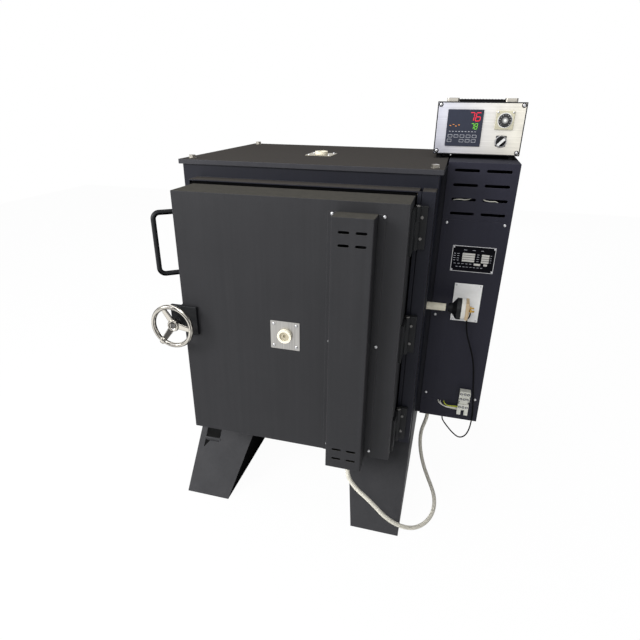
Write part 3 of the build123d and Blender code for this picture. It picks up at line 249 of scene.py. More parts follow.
def chrome(name, bright, dark):
    """Polished plating with a painted reflection: its tone changes, bright and dark, with the way the
    surface faces, as the surroundings mirrored in it would make it.
    """
    shader = Shader(name, metallic=1.0)
    normal = shader.add("ShaderNodeNewGeometry").outputs["Normal"]
    painted_room_reflection = shader.noise(2.6, 2, 0.5, normal)
    skin = shader.blend(shader.span(painted_room_reflection, 0, 1, 0.40, 0.56), bright, dark)
    marks = shader.noise(30, 6)
    return shader.finish(skin, shader.span(marks, 0.1, 0.24), marks, 0.00003, 0.4)


def plastic(name, base, low, high, texture=500, depth=0.00006, gloss=0.35):
    shader = Shader(name)
    shader.surface.inputs["Specular IOR Level"].default_value = gloss
    shade = shader.blend(shader.span(shader.noise(18, 5), 0, 1), base, scaled(base, 0.82))
    rough = shader.span(shader.noise(40, 4), low, high)
    return shader.finish(shade, rough, shader.noise(texture, 2), depth, 0.4)


def ceramic(name, base, speck):
    shader = Shader(name)
    grain = shader.noise(420, 6, 0.75)
    body = shader.blend(shader.span(shader.noise(24, 6), 0, 1), base, scaled(base, 0.86))
    specked = shader.blend(shader.span(grain, 0, 0.6, 0.56, 0.72), body, speck)
    return shader.finish(specked, shader.span(grain, 0.75, 0.92), grain, 0.0003, 0.6)


def firebrick(name, across, up):
    """Porous insulating brick with thin joints, laid out on two of the three axes."""
    shader = Shader(name)
    place_on = shader.parts(shader.position)
    flat = shader.add("ShaderNodeCombineXYZ")
    shader.link(place_on[across], flat.inputs["X"])
    shader.link(place_on[up], flat.inputs["Y"])
    courses = shader.add("ShaderNodeTexBrick")
    settings = {
        "Color1": (*srgb(222, 208, 178), 1),
        "Color2": (*srgb(210, 194, 162), 1),
        "Mortar": (*srgb(132, 114, 88), 1),
        "Scale": 1.0,
        "Mortar Size": 0.0008,
        "Mortar Smooth": 0.2,
        "Brick Width": 0.23,
        "Row Height": 0.114,
    }
    for key, value in settings.items():
        courses.inputs[key].default_value = value
    shader.link(flat.outputs["Vector"], courses.inputs["Vector"])
    pores = shader.noise(330, 8, 0.8)
    spots = shader.span(pores, 0, 0.75, 0.56, 0.7)
    brick = shader.blend(spots, courses.outputs["Color"], srgb(138, 108, 74))
    return shader.finish(brick, shader.span(pores, 0.85, 1.0), pores, 0.0012, 0.7)


def disc_material(name, centre, rings):
    """Plastic whose colour changes with the distance from an axis along Y."""
    shader = Shader(name)
    flat = shader.add("ShaderNodeVectorMath", operation="MULTIPLY")
    flat.inputs[1].default_value = (1, 0, 1)
    shader.link(shader.position, flat.inputs[0])
    reach = shader.add("ShaderNodeVectorMath", operation="DISTANCE")
    reach.inputs[1].default_value = (centre.x, 0, centre.z)
    shader.link(flat.outputs["Vector"], reach.inputs[0])
    colour = rings[0][1]
    for radius, next_colour in rings[1:]:
        step = shader.span(reach.outputs["Value"], 0, 1, radius - 0.0001, radius + 0.0001)
        colour = shader.blend(step, colour, next_colour)
    rough = shader.span(shader.noise(90, 4), 0.25, 0.4)
    return shader.finish(colour, rough, shader.noise(700, 2), 0.00004, 0.3)


kiln_paint = paint("kiln_paint", srgb(24, 25, 33), srgb(68, 65, 61), 0.42, 0.56, 0.16)
# The lid's coat is a lighter copy of the body's paint: painted light on the lid's top and front lip.
lit_lid_paint = paint("lit_lid_paint", srgb(52, 52, 56), srgb(63, 60, 56), 0.42, 0.56, 0.16)
door_paint = paint("door_paint", srgb(40, 40, 42), srgb(70, 68, 63), 0.40, 0.54, 0.17)
trestle_paint = paint("trestle_paint", srgb(52, 52, 54), srgb(82, 82, 84), 0.45, 0.6, 0.18)
cabinet_paint = paint("cabinet_paint", srgb(33, 33, 44), srgb(61, 61, 66), 0.36, 0.5, 0.16)
black_paint = paint("black_paint", srgb(24, 25, 27), srgb(47, 47, 48), 0.32, 0.5)
# Painted reflection: the stainless panel runs from a cool tint on the left to a brighter, warmer one on the
# right.
panel_reflection_tints = (srgb(209, 210, 221), srgb(244, 240, 228), 0.23, 0.44)
stainless = metal("stainless", srgb(242, 242, 242), srgb(216, 216, 216), 0.3, 0.42, (6, 6, 700), panel_reflection_tints)
port_steel = metal("port_steel", srgb(198, 196, 192), srgb(150, 148, 145), 0.28, 0.45, (900, 6, 6))
# A darker copy of the port plate's steel for the up-facing vent plate: painted shade that holds back the top
# light it catches.
shaded_vent_steel = metal("shaded_vent_steel", srgb(172, 166, 152), srgb(128, 122, 108), 0.35, 0.5, (900, 6, 6))
zinc = metal("zinc", srgb(205, 205, 206), srgb(160, 160, 164), 0.22, 0.4)
bolt_zinc = metal("bolt_zinc", srgb(164, 160, 152), srgb(112, 108, 100), 0.3, 0.5)
wheel_chrome = chrome("wheel_chrome", srgb(228, 223, 212), srgb(82, 80, 78))
dull_zinc = metal("dull_zinc", srgb(122, 121, 120), srgb(84, 82, 80), 0.35, 0.55)
brass = metal("brass", srgb(214, 178, 98), srgb(160, 124, 60), 0.25, 0.42)
coil_wire = metal("coil_wire", srgb(112, 104, 98), srgb(70, 62, 58), 0.5, 0.7)
pale_ceramic = ceramic("pale_ceramic", srgb(234, 228, 208), srgb(190, 172, 138))
# The plugs sit down in their tubes; their ceramic is a darker copy, painted shade for that recess.
shaded_plug_ceramic = ceramic("shaded_plug_ceramic", srgb(178, 170, 148), srgb(126, 112, 84))
white_ceramic = ceramic("white_ceramic", srgb(236, 234, 226), srgb(200, 196, 186))
brick_side = firebrick("brick_side", "Y", "Z")
brick_flat = firebrick("brick_flat", "X", "Y")
brick_front = firebrick("brick_front", "X", "Z")
black_plastic = plastic("black_plastic", srgb(25, 26, 28), 0.35, 0.5, gloss=0.15)
screen_black = plastic("screen_black", srgb(45, 49, 63), 0.12, 0.22, 60, 0.00001, 0.25)
timer_grey = plastic("timer_grey", srgb(194, 189, 165), 0.35, 0.5)
tan_ceramic = ceramic("tan_ceramic", srgb(206, 184, 150), srgb(140, 100, 66))
clear_plastic = plastic("clear_plastic", srgb(226, 226, 216), 0.18, 0.3)
rubber = plastic("rubber", srgb(20, 20, 21), 0.65, 0.85, 300, 0.0001, 0.03)
# Near black and without gloss: the rope in the collar stands in for shade in the gap round the door.
gap_shade_black = plastic("gap_shade_black", srgb(12, 12, 13), 0.85, 1.0, 900, 0.0003, 0.0)
white_print = plastic("white_print", srgb(228, 228, 226), 0.4, 0.5)
grey_print = plastic("grey_print", srgb(199, 201, 208), 0.4, 0.5, gloss=0.1)
wire_white = plastic("wire_white", srgb(226, 224, 212), 0.35, 0.5)
wire_earth = plastic("wire_earth", srgb(206, 214, 60), 0.35, 0.5)
plate_black = plastic("plate_black", srgb(20, 20, 24), 0.4, 0.5, gloss=0.0)
plate_white = plastic("plate_white", srgb(244, 244, 242), 0.3, 0.45)
field_silver = plastic("field_silver", srgb(206, 204, 198), 0.35, 0.5, gloss=0.2)


def lamp_colour(name, base):
    shader = Shader(name)
    lit = shader.blend(shader.span(shader.noise(300, 2), 0, 1), base, scaled(base, 0.75))
    shader.link(lit, shader.surface.inputs["Emission Color"])
    shader.surface.inputs["Emission Strength"].default_value = 0.45
    return shader.finish(lit, shader.span(shader.noise(80, 2), 0.3, 0.4))


red_lamp = lamp_colour("red_lamp", srgb(222, 22, 52))
green_lamp = lamp_colour("green_lamp", srgb(110, 200, 40))
amber_lamp = lamp_colour("amber_lamp", srgb(235, 150, 60))

node_materials = {
    kiln_paint: "cabinet_rails left_casing right_casing back_casing front_frame bottom_pan"
    " rear_terminal_cover",
    lit_lid_paint: "lid",
    door_paint: "door_shell wiring_cover",
    trestle_paint: "left_trestle right_trestle",
    cabinet_paint: "cabinet_shell louvre_cover cabinet_front_cover cabinet_base_cover control_case",
    black_paint: "frame_hinge_leaves door_hinge_leaves clamp_nut clamp_bracket pull_handle",
    brick_side: "left_bricks right_bricks",
    brick_flat: "hearth_bricks roof_bricks",
    brick_front: "back_bricks door_bricks",
    stainless: "control_panel",
    port_steel: "spyhole_plate",
    shaded_vent_steel: "vent_plate",
    bolt_zinc: "lid_bolts",
    zinc: "clamp_collar clamp_spindle",
    dull_zinc: "hinge_pins",
    wheel_chrome: "handwheel strap_caps",
    coil_wire: "left_element right_element door_element",
    pale_ceramic: "vent_tube spyhole_tube thermocouple_tube",
    shaded_plug_ceramic: "vent_plug spyhole_plug",
    white_ceramic: "terminal_disc",
    black_plastic: "thermocouple_head switch_plate switch_knob hose_gland cabinet_glands contactor",
    screen_black: "controller",
    timer_grey: "timer_body",
    clear_plastic: "terminal_block",
    rubber: "case_feet strap_handle thermocouple_lead",
    plate_white: "white_hose",
    disc_material(
        "dial_plastic",
        place(DIAL_X, 0, DIAL_Z),
        [
            (0, srgb(222, 222, 218)),
            (0.0034, srgb(150, 150, 148)),
            (0.0062, srgb(108, 108, 108)),
            (0.0082, srgb(24, 24, 26)),
        ],
    ): "timer_dial",
}
for material, names in node_materials.items():
    for name in names.split():
        nodes[name].data.materials.clear()
        nodes[name].data.materials.append(material)

# ---- mesh helpers ---------------------------------------------------------


def keep(piece, name, material, body="root"):
    """Link a new piece, give it its material, and let it ride on a body."""
    if not isinstance(piece, bpy.types.Object):
        piece = bpy.data.objects.new(name, piece)
    if not piece.users_collection:
        bpy.context.scene.collection.objects.link(piece)
    if not piece.data.materials:
        piece.data.materials.append(material)
    if body:
        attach(piece, body)
    return piece


def circle(sides, radius=1.0):
    """Points round a circle, as (x, y) pairs."""
    angles = [2 * math.pi * side / sides for side in range(sides)]
    return [(radius * math.cos(angle), radius * math.sin(angle)) for angle in angles]


def bands(rows, sides, closed=False, inward=False):
    """Faces between rings of points, in a tube or, closed, in a ring."""
    faces = []
    for row in range(rows if closed else rows - 1):
        near, far = row * sides, (row + 1) % rows * sides
        for side in range(sides):
            after = (side + 1) % sides
            if inward:
                faces.append((near + side, near + after, far + after, far + side))
            else:
                faces.append((near + side, far + side, far + after, near + after))
    return faces


def divided(path, step):
    """A path of points with more of them, about a step apart."""
    fine = [path[0]]
    for before, after in zip(path, path[1:]):
        count = max(1, round((after - before).length / step))
        fine += [before.lerp(after, (k + 1) / count) for k in range(count)]
    return fine


def mesh_from(name, points, faces, smooth=True):
    mesh = bpy.data.meshes.new(name)
    mesh.from_pydata([tuple(p) for p in points], [], faces)
    mesh.validate()
    for polygon in mesh.polygons:
        polygon.use_smooth = smooth
    mesh.update()
    return mesh


def turned(name, profile, sides=32, smooth=True):
    """A closed form turned about Z from (radius, height) pairs that start and end on the axis."""
    points = [Vector((0, 0, profile[0][1]))]
    rows = profile[1:-1]
    points += [Vector((x, y, height)) for radius, height in rows for x, y in circle(sides, radius)]
    points.append(Vector((0, 0, profile[-1][1])))
    faces = []
    last = len(points) - 1
    for side in range(sides):
        after = (side + 1) % sides
        faces.append((0, 1 + after, 1 + side))
        for row in range(len(rows) - 1):
            low, high = 1 + row * sides, 1 + (row + 1) * sides
            faces.append((low + side, low + after, high + after, high + side))
        top = 1 + (len(rows) - 1) * sides
        faces.append((last, top + side, top + after))
    return mesh_from(name, points, faces, smooth)


def bevelled_box(name, size, bevel, segments=2):
    bm = bmesh.new()
    bmesh.ops.create_cube(bm, size=1)
    bmesh.ops.scale(bm, vec=size, verts=bm.verts)
    bmesh.ops.bevel(bm, geom=bm.edges[:], offset=bevel, segments=segments, profile=0.6, affect="EDGES")
    mesh = bpy.data.meshes.new(name)
    bm.to_mesh(mesh)
    bm.free()
    return mesh


def facing(direction):
    """Rotation that takes +Z to a direction."""
    return Vector(direction).to_track_quat("Z", "Y").to_matrix().to_4x4()


def stand(mesh, name, point, direction, material, body="root", turn=0.0):
    """Stand a mesh that was made along +Z on a point, along a direction."""
    piece = bpy.data.objects.new(name, mesh)
    piece.matrix_world = Matrix.Translation(point) @ facing(direction) @ Matrix.Rotation(turn, 4, "Z")
    return keep(piece, name, material, body)


def carved(name, mesh, joined, cutters):
    """A mesh with others added to it and others cut out of it."""
    base = bpy.data.objects.new(name, mesh)
    extras = [base]
    for operation, tools in (("UNION", joined), ("DIFFERENCE", cutters)):
        for tool_mesh in tools:
            tool = bpy.data.objects.new("tool", tool_mesh)
            extras.append(tool)
            step = base.modifiers.new("step", "BOOLEAN")
            step.object = tool
            step.operation = operation
            step.solver = "EXACT"
    for extra in extras:
        bpy.context.scene.collection.objects.link(extra)
    bpy.context.view_layer.update()
    graph = bpy.context.evaluated_depsgraph_get()
    result = bpy.data.meshes.new_from_object(base.evaluated_get(graph))
    for extra in extras:
        bpy.data.objects.remove(extra)
    return result


def moved(mesh, matrix):
    mesh.transform(matrix)
    return mesh


def shifted(mesh, offset):
    return moved(mesh, Matrix.Translation(offset))


def prism(name, near, far):
    """A solid between two like outlines."""
    count = len(near)
    faces = [tuple(range(count)), tuple(reversed(range(count, 2 * count)))]
    faces += [((k + 1) % count, k, count + k, count + (k + 1) % count) for k in range(count)]
    mesh = mesh_from(name, [*near, *far], faces, smooth=False)
    bm = bmesh.new()
    bm.from_mesh(mesh)
    bmesh.ops.recalc_face_normals(bm, faces=bm.faces[:])
    bm.to_mesh(mesh)
    bm.free()
    return mesh


def box_between(name, low, high, bevel=0.0):
    """A box between two corners given in millimetres."""
    first, last = place(*low), place(*high)
    size = last - first
    mesh = bevelled_box(name, size, bevel) if bevel else bevelled_box(name, size, 1e-5, 1)
    return shifted(mesh, (first + last) / 2)


def screw_mesh(name, radius):
    """A pan head with a cross recess."""
    height = 0.55 * radius
    profile = [(0, 0), (radius, 0), (radius, 0.3 * height), (0.86 * radius, 0.72 * height)]
    profile += [(0.5 * radius, 0.97 * height), (0, height)]
    bars = []
    for turn in (0, math.pi / 2):
        bar = bevelled_box("bar", (1.15 * radius, 0.2 * radius, height), 0.02 * radius, 1)
        bars.append(moved(bar, Matrix.Translation((0, 0, height * 1.02)) @ Matrix.Rotation(turn, 4, "Z")))
    return carved(name, turned(name, profile, 28), [], bars)


def hex_mesh(name, flats, height):
    """A hexagon head with a turned chamfer."""
    corner = flats / math.sqrt(3)
    profile = [(0, 0), (corner, 0), (corner, 0.82 * height), (0.84 * corner, height), (0, height)]
    return turned(name, profile, 6, smooth=False)


small_screw = screw_mesh("small_screw", 0.0042)
tiny_screw = screw_mesh("tiny_screw", 0.0028)
bolt_head = hex_mesh("bolt_head", 0.0075, 0.003)


def screws(prefix, mesh, points, direction, material=zinc, body="root"):
    for index, point in enumerate(points):
        stand(mesh, f"{prefix}_{index + 1}", place(*point), direction, material, body, 0.6 * index)


# ---- small fasteners ------------------------------------------------------

sheet_y = DOOR_Y - SHEET
screws(
    "cover_screw",
    small_screw,
    [(x, sheet_y, z) for x in (122, 243) for z in (944.5, 619, 294)],
    FRONT,
    body="door",
)
SPYHOLE_X, SPYHOLE_Z = 2.5, 618
VENT_X, VENT_Y = -16, 300
PORT_PLATE = 1.5
port_corners = [(x, z) for x in (-31, 31) for z in (-31, 31)]
screws(
    "spyhole_screw",
    small_screw,
    [(SPYHOLE_X + x, DOOR_Y - PORT_PLATE, SPYHOLE_Z + z) for x, z in port_corners],
    FRONT,
    dull_zinc,
    "door",
)
screws(
    "vent_screw",
    small_screw,
    [(VENT_X + x, VENT_Y + y, LID_Z + PORT_PLATE) for x, y in port_corners],
    UP,
    dull_zinc,
)
screws(
    "cabinet_screw",
    small_screw,
    [(375, CABINET_Y, 865), (533, CABINET_Y, 866), (374, CABINET_Y, 578), (375, CABINET_Y, 294)],
    FRONT,
)
screws("cabinet_base_screw", small_screw, [(534, CABINET_Y, 291)], FRONT, dull_zinc)
panel_corners = [(x, z) for x in (320.5, 539.5) for z in (1050, 1171.5)]
# Black rings under the panel's corner screws: painted dark reflection round each screw head.
screw_shade_ring = turned("screw_shade_ring", [(0, 0), (0.0062, 0), (0.0062, 0.0005), (0.0058, 0.0008), (0, 0.0008)], 28)
for index, (x, z) in enumerate(panel_corners):
    stand(screw_shade_ring, f"panel_washer_{index + 1}", place(x, PANEL_Y, z), FRONT, black_plastic)
screws("panel_screw", small_screw, [(x, PANEL_Y - 0.8, z) for x, z in panel_corners], FRONT)
hinge_rows = [centre + step for centre in (326, 613, 900) for step in (-26, 26)]
screws("hinge_bolt", bolt_head, [(318.5, -11, z) for z in hinge_rows], FRONT, dull_zinc)

rear_low, rear_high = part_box("rear_terminal_cover")
back_low, back_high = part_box("back_casing")
middle = (rear_high[1] + back_high[1]) / 2
for side, x, direction in ((1, rear_low[0], (-1, 0, 0)), (2, rear_high[0], (1, 0, 0))):
    for level, z in enumerate((rear_low[2] + 0.03, rear_high[2] - 0.03)):
        name = f"rear_screw_{side}_{level + 1}"
        stand(small_screw, name, Vector((x, middle, z)), direction, zinc, turn=level)
for index in range(6):
    x = (back_low[0] + 0.016, back_high[0] - 0.016)[index % 2]
    z = (0.34, 0.65, 0.96)[index // 2]
    point = Vector((x, back_high[1], z))
    stand(small_screw, f"back_screw_{index + 1}", point, (0, 1, 0), zinc, turn=0.4 * index)

# ---- folded cover on the door ---------------------------------------------


def round_outline(left, right, back, front, radius, z):
    """The cover's plan: open corners at the door, rounded ones in front."""
    outline = [place(left, back, z)]
    for centre_x, start in ((left + radius, 180), (right - radius, 270)):
        for step in range(7):
            angle = math.radians(start + 15 * step)
            outline.append(
                place(centre_x + radius * math.cos(angle), front + radius + radius * math.sin(angle), z)
            )
    outline.append(place(right, back, z))
    return outline


def slot_cutter(x, z, length, height):
    outline = []
    for centre, start in ((x + (length - height) / 2, -90), (x - (length - height) / 2, 90)):
        for step in range(9):
            angle = math.radians(start + 22.5 * step)
            outline.append((centre + height / 2 * math.cos(angle), z + height / 2 * math.sin(angle)))
    return prism("slot", [place(a, -182, b) for a, b in outline], [place(a, -175, b) for a, b in outline])


def folded_cover():
    """The wiring cover: a tray of sheet with slots, on two flanges."""
    left, right, front, low, high = 132.5, 229.5, -179, 264, 950
    outer = prism(
        "wiring_tray",
        round_outline(left, right, -120, front, 3, low),
        round_outline(left, right, -120, front, 3, high),
    )
    inner = prism(
        "inner",
        round_outline(left + SHEET, right - SHEET, -119, front + SHEET, 1.4, low + SHEET),
        round_outline(left + SHEET, right - SHEET, -119, front + SHEET, 1.4, high - SHEET),
    )
    slots = [slot_cutter(x, z, 26, 6.5) for x in (162.5, 202.5) for z in (917, 887, 324, 294)]
    bore = turned("bore", [(0, 0), (0.0066, 0), (0.0066, 0.008), (0, 0.008)], 32)
    bore = shifted(bore, place(HOSE_X, HOSE_Y, low - 3))
    tray = keep(carved("wiring_tray", outer, [], [inner, *slots, bore]), "wiring_tray", door_paint, "door")
    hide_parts("wiring_cover")
    for name, a, b in (("cover_flange_left", 111, left + 1), ("cover_flange_right", right - 1, 247)):
        flange = box_between(name, (a, DOOR_Y - SHEET, 273), (b, -120.02, high), 0.0003)
        flange = keep(flange, name, door_paint, "door")


folded_cover()

# ---- clamp bracket --------------------------------------------------------


def bracket():
    """A plate on the door with a lower arm past its edge, bored for the spindle."""
    plate = box_between("bracket_plate", (-282, -130, 589), (-247, -120, 671), 0.0012)
    wing = box_between("wing", (-324, -130, 608), (-276, -120.2, 671), 0.0012)
    arm = box_between("arm", (-324, -126, 608), (-291.1, -62, 650), 0.0012)
    bore = turned("bore", [(0, 0), (0.00815, 0), (0.00815, 0.08), (0, 0.08)], 40)
    bore = shifted(moved(bore, TO_FRONT), place(WHEEL_X, -55, WHEEL_Z))
    piece = keep(carved("bracket_plate", plate, [wing, arm], [bore]), "bracket_plate", black_paint, "door")
    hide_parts("clamp_bracket")


bracket()


def ring_mesh(name, profile, sides=64, smooth=False):
    """A ring that faces the front, from (radius, height) pairs round its section."""
    points = [(x, -height, z) for radius, height in profile for x, z in circle(sides, radius)]
    return mesh_from(name, points, bands(len(profile), sides, closed=True), smooth)


def spoke(angle, root, tip):
    """A flat bar with rounded edges; each end is (reach, height, width) about the wheel's axis."""
    radial = Vector((math.cos(angle), 0, math.sin(angle)))
    across = Vector((-math.sin(angle), 0, math.cos(angle)))
    rings = []
    for reach, height, width in (root, tip):
        centre = radial * reach + Vector((0, -height, 0))
        outline = []
        for corner, (sign_a, sign_b) in enumerate(((1, 1), (-1, 1), (-1, -1), (1, -1))):
            for step in range(4):
                turn = math.radians(90 * corner + 30 * step)
                a = sign_a * (width / 2 - 0.0024) + 0.0024 * math.cos(turn)
                b = sign_b * (0.0035 - 0.0024) + 0.0024 * math.sin(turn)
                outline.append(centre + across * a + Vector((0, -b, 0)))
        rings.append(outline)
    return prism("spoke", *rings)


def dished_wheel():
    """The handwheel: its hub is set back behind the rim, and a boss stands on the rim."""
    arc = [2 * math.pi * step / 20 for step in range(20)]
    section = [(0.056 + 0.0065 * math.cos(a), -0.0065 * math.sin(a)) for a in arc]
    rim = ring_mesh("chrome_wheel", section, 96, True)
    profile = [(0, -0.016), (0.017, -0.016), (0.0168, -0.0045), (0.0158, -0.0035), (0.0158, -0.0022)]
    profile += [(0.0148, -0.0012), (0.0116, -0.0012), (0.0108, -0.0026), (0, -0.0026)]
    hub = moved(turned("hub", profile, 48), TO_FRONT)
    root, tip = (0.01, -0.0085, 0.0175), (0.0545, -0.0005, 0.0135)
    spokes = [spoke(math.radians(angle), root, tip) for angle in (115, 235, 355)]
    boss = turned("boss", [(0, -0.004), (0.0085, -0.004), (0.0085, 0.0062), (0.0076, 0.007), (0, 0.007)], 32)
    seat = Vector((0.056 * math.cos(math.radians(235)), 0, 0.056 * math.sin(math.radians(235))))
    boss = shifted(moved(boss, TO_FRONT), seat)
    square = bevelled_box("square", (0.0122, 0.04, 0.0122), 0.0003)
    wheel = carved("chrome_wheel", rim, [hub, *spokes, boss], [square])
    wheel = shifted(wheel, place(WHEEL_X, -163.2, WHEEL_Z))
    piece = keep(wheel, "chrome_wheel", wheel_chrome, "clamp_screw")
    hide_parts("handwheel")


dished_wheel()

# ---- clamp spindle with its thread -----------------------------------------


def threaded_spindle():
    """The screw: plain under the hub and in the bracket, and threaded towards its tip."""
    sides, step = 40, 0.00028
    pitch, depth, radius = 0.0025, 0.0012, 0.008
    start, thread_from, end = 0.1472, 0.064, 0.013
    points = []
    rows = int((start - end) / step)
    for row in range(rows + 1):
        along = start - row * (start - end) / rows
        run_in = min(1.0, max(0.0, (thread_from - along) / 0.003))
        tip = min(1.0, (along - end) / 0.0018)
        for side in range(sides):
            angle = 2 * math.pi * side / sides
            phase = (along / pitch + side / sides) % 1.0
            groove = max(0.0, 1 - abs(phase - 0.5) * 2.6)
            reach = min(radius - run_in * depth * groove, radius - 0.0016 * (1 - tip))
            points.append((reach * math.cos(angle), -along, reach * math.sin(angle)))
    faces = bands(rows + 1, sides)
    faces += [tuple(range(sides)), tuple(reversed(range(rows * sides, (rows + 1) * sides)))]
    mesh = shifted(mesh_from("spindle_screw", points, faces), place(WHEEL_X, 0, WHEEL_Z))
    screw = keep(mesh, "spindle_screw", zinc, "clamp_screw")
    square = bevelled_box("spindle_square", (0.012, 0.0125, 0.012), 0.0008)
    square = shifted(square, place(WHEEL_X, -153.4, WHEEL_Z))
    head = keep(square, "spindle_square", dull_zinc, "clamp_screw")
    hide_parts("clamp_spindle")


threaded_spindle()

# ---- black rope in the collar, painted shade for the gap ------------------


def gap_shade_rope():
    """A black fibre rope laid round the inside of the collar, in front of the bricks: a dark piece put there
    as painted shade for the gap round the door.
    """
    radius, reach, low, high, bend = 0.0046, 297.2, 270.8, 977.2, 5.5
    corners = [(-reach, low), (reach, low), (reach, high), (-reach, high)]
    path = []
    for index, (x, z) in enumerate(corners):
        for step in range(9):
            angle = math.radians(180 + 90 * index + step * 90 / 8)
            sign_x, sign_z = (1 if x > 0 else -1), (1 if z > 0 and z > 600 else -1)
            centre = (x - sign_x * bend, z - sign_z * bend)
            path.append(place(centre[0] + bend * math.cos(angle), 6.9, centre[1] + bend * math.sin(angle)))
    path.append(path[0])

    def lift(along, angle):
        return 0.0004 * math.sin(3 * angle + 2 * math.pi * along / 0.009)

    rope = sweep_ring("gap_shade_rope", divided(path, 0.002), radius, 14, lift)
    keep(rope, "gap_shade_rope", gap_shade_black)


# ---- heating elements -----------------------------------------------------


def rounded(points, radius, step=0.004):
    """Points along a path whose corners are rounded, a step apart."""
    path = []
    for index, corner in enumerate(points):
        if index in (0, len(points) - 1):
            path.append(corner)
            continue
        back = (points[index - 1] - corner).normalized()
        ahead = (points[index + 1] - corner).normalized()
        for share in range(7):
            t = share / 6
            path.append(corner + back * radius * (1 - t) ** 2 + ahead * radius * t**2)
    return divided(path, step)


def sweep_ring(name, path, radius, sides=8, lift=None):
    """A closed tube mesh along a path, its frame carried from ring to ring."""
    normal = (path[1] - path[0]).orthogonal().normalized()
    points = []
    walked = 0.0
    for index, point in enumerate(path):
        before, after = path[max(index - 1, 0)], path[min(index + 1, len(path) - 1)]
        tangent = (after - before).normalized()
        normal = (normal - tangent * normal.dot(tangent)).normalized()
        side_axis = tangent.cross(normal)
        walked += (point - path[max(index - 1, 0)]).length
        for side in range(sides):
            angle = 2 * math.pi * side / sides
            reach = radius + (lift(walked, angle) if lift else 0)
            points.append(point + (normal * math.cos(angle) + side_axis * math.sin(angle)) * reach)
    faces = bands(len(path), sides, inward=True)
    faces += [tuple(reversed(range(sides))), tuple(range((len(path) - 1) * sides, len(path) * sides))]
    return mesh_from(name, points, faces)


def helix(path, radius, pitch, per_turn=10):
    """A coil of wire round a path."""
    lengths = [0.0]
    for before, after in zip(path, path[1:]):
        lengths.append(lengths[-1] + (after - before).length)
    normal = (path[1] - path[0]).orthogonal().normalized()
    wound, segment = [], 0
    total = int(lengths[-1] / pitch * per_turn)
    for step in range(total + 1):
        goal = min(step * pitch / per_turn, lengths[-1])
        while segment < len(path) - 2 and lengths[segment + 1] < goal:
            segment += 1
        share = (goal - lengths[segment]) / max(lengths[segment + 1] - lengths[segment], 1e-9)
        centre = path[segment].lerp(path[segment + 1], share)
        tangent = (path[segment + 1] - path[segment]).normalized()
        normal = (normal - tangent * normal.dot(tangent)).normalized()
        angle = 2 * math.pi * step / per_turn
        wound.append(centre + (normal * math.cos(angle) + tangent.cross(normal) * math.sin(angle)) * radius)
    return wound


def serpentine(low, high, heights):
    corners = []
    for index, height in enumerate(heights):
        ends = (high, low) if index % 2 == 0 else (low, high)
        corners += [(ends[0], height), (ends[1], height)]
    return corners


def element(name, corners, node, body):
    """A coil in the grooves, and straight tails where it leaves the chamber."""
    coil_path = rounded([place(*c) for c in corners[1:-1]], 0.012)
    wound = helix(coil_path, 0.0068, 0.0072)
    coil = keep(sweep_ring(name, wound, 0.0015, 6), name, coil_wire, body)
    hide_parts(node)
    for index, (outer, inner) in enumerate(((corners[0], corners[1]), (corners[-1], corners[-2]))):
        inside = place(*inner)
        outside = place(*outer)
        tail = f"{name}_tail_{index + 1}"
        rod = sweep_ring(tail, rounded([inside, outside], 0.01, 0.02), 0.004, 12)
        keep(rod, tail, coil_wire, body)


gap_shade_rope()
wall_heights = [445 + 76 * row for row in range(6)]
for hand, side_name in ((-1, "left"), (1, "right")):
    turns = serpentine(60, 440, wall_heights)
    route = [(hand * 225.4, 623, turns[0][1])]
    route += [(hand * 225.4, y, z) for y, z in turns]
    route += [(hand * 225.4, 623, turns[-1][1])]
    element(f"{side_name}_coil", route, f"{side_name}_element", "root")
door_heights = [433 + 74 * row for row in range(6)]
turns = serpentine(-170.4, 190.4, door_heights)
route = [(190.4, -140, door_heights[0])]
route += [(x, 31.6, z) for x, z in turns]
route += [(190.4 if turns[-1][0] > 0 else turns[-1][0], -140, door_heights[-1])]
element("door_coil", route, "door_element", "door")

# ---- cords ----------------------------------------------------------------

HOSE_ROUTE = [
    (HOSE_X, HOSE_Y, 256), (HOSE_X, HOSE_Y, 229), (199, -151, 203), (221, -152, 176), (252, -150, 148),
    (277, -144, 117), (302, -138, 84), (332, -129, 55), (363, -114, 32), (393, -91, 14),
    (420, -60, 8), (439, -20, 7), (446, 24, 7), (443, 70, 7), (431, 113, 7),
    (416, 154, 9), (400, 192, 18), (385, 224, 42), (375, 246, 80), (374, 257, 124),
    (384, 261, 163), (388, 262, 185), (388, 262, 200),
]
LEAD_ROUTE = [
    (466, 175, 610), (467, 178, 583), (474, 186, 545), (487, 198, 507), (500, 210, 468),
    (510, 220, 427), (516, 226, 384), (521, 229, 340), (527, 230, 294), (532, 231, 250),
    (533, 232, 208), (530, 236, 170), (520, 241, 140), (501, 247, 127), (478, 253, 141),
    (457, 258, 161), (441, 262, 180), (438, 262, 192), (438, 262, 200),
]


def nurbs(name, route, bevel=0.0):
    """A smooth open curve with the route's points as its control points."""
    data = bpy.data.curves.new(name, "CURVE")
    data.dimensions = "3D"
    data.resolution_u = 12
    data.bevel_depth = bevel
    data.bevel_resolution = 5
    data.use_fill_caps = True
    spline = data.splines.new("NURBS")
    spline.points.add(len(route) - 1)
    for control, point in zip(spline.points, route):
        control.co = (*place(*point), 1)
    spline.order_u = 3
    spline.use_endpoint_u = True
    piece = bpy.data.objects.new(name, data)
    bpy.context.scene.collection.objects.link(piece)
    return piece


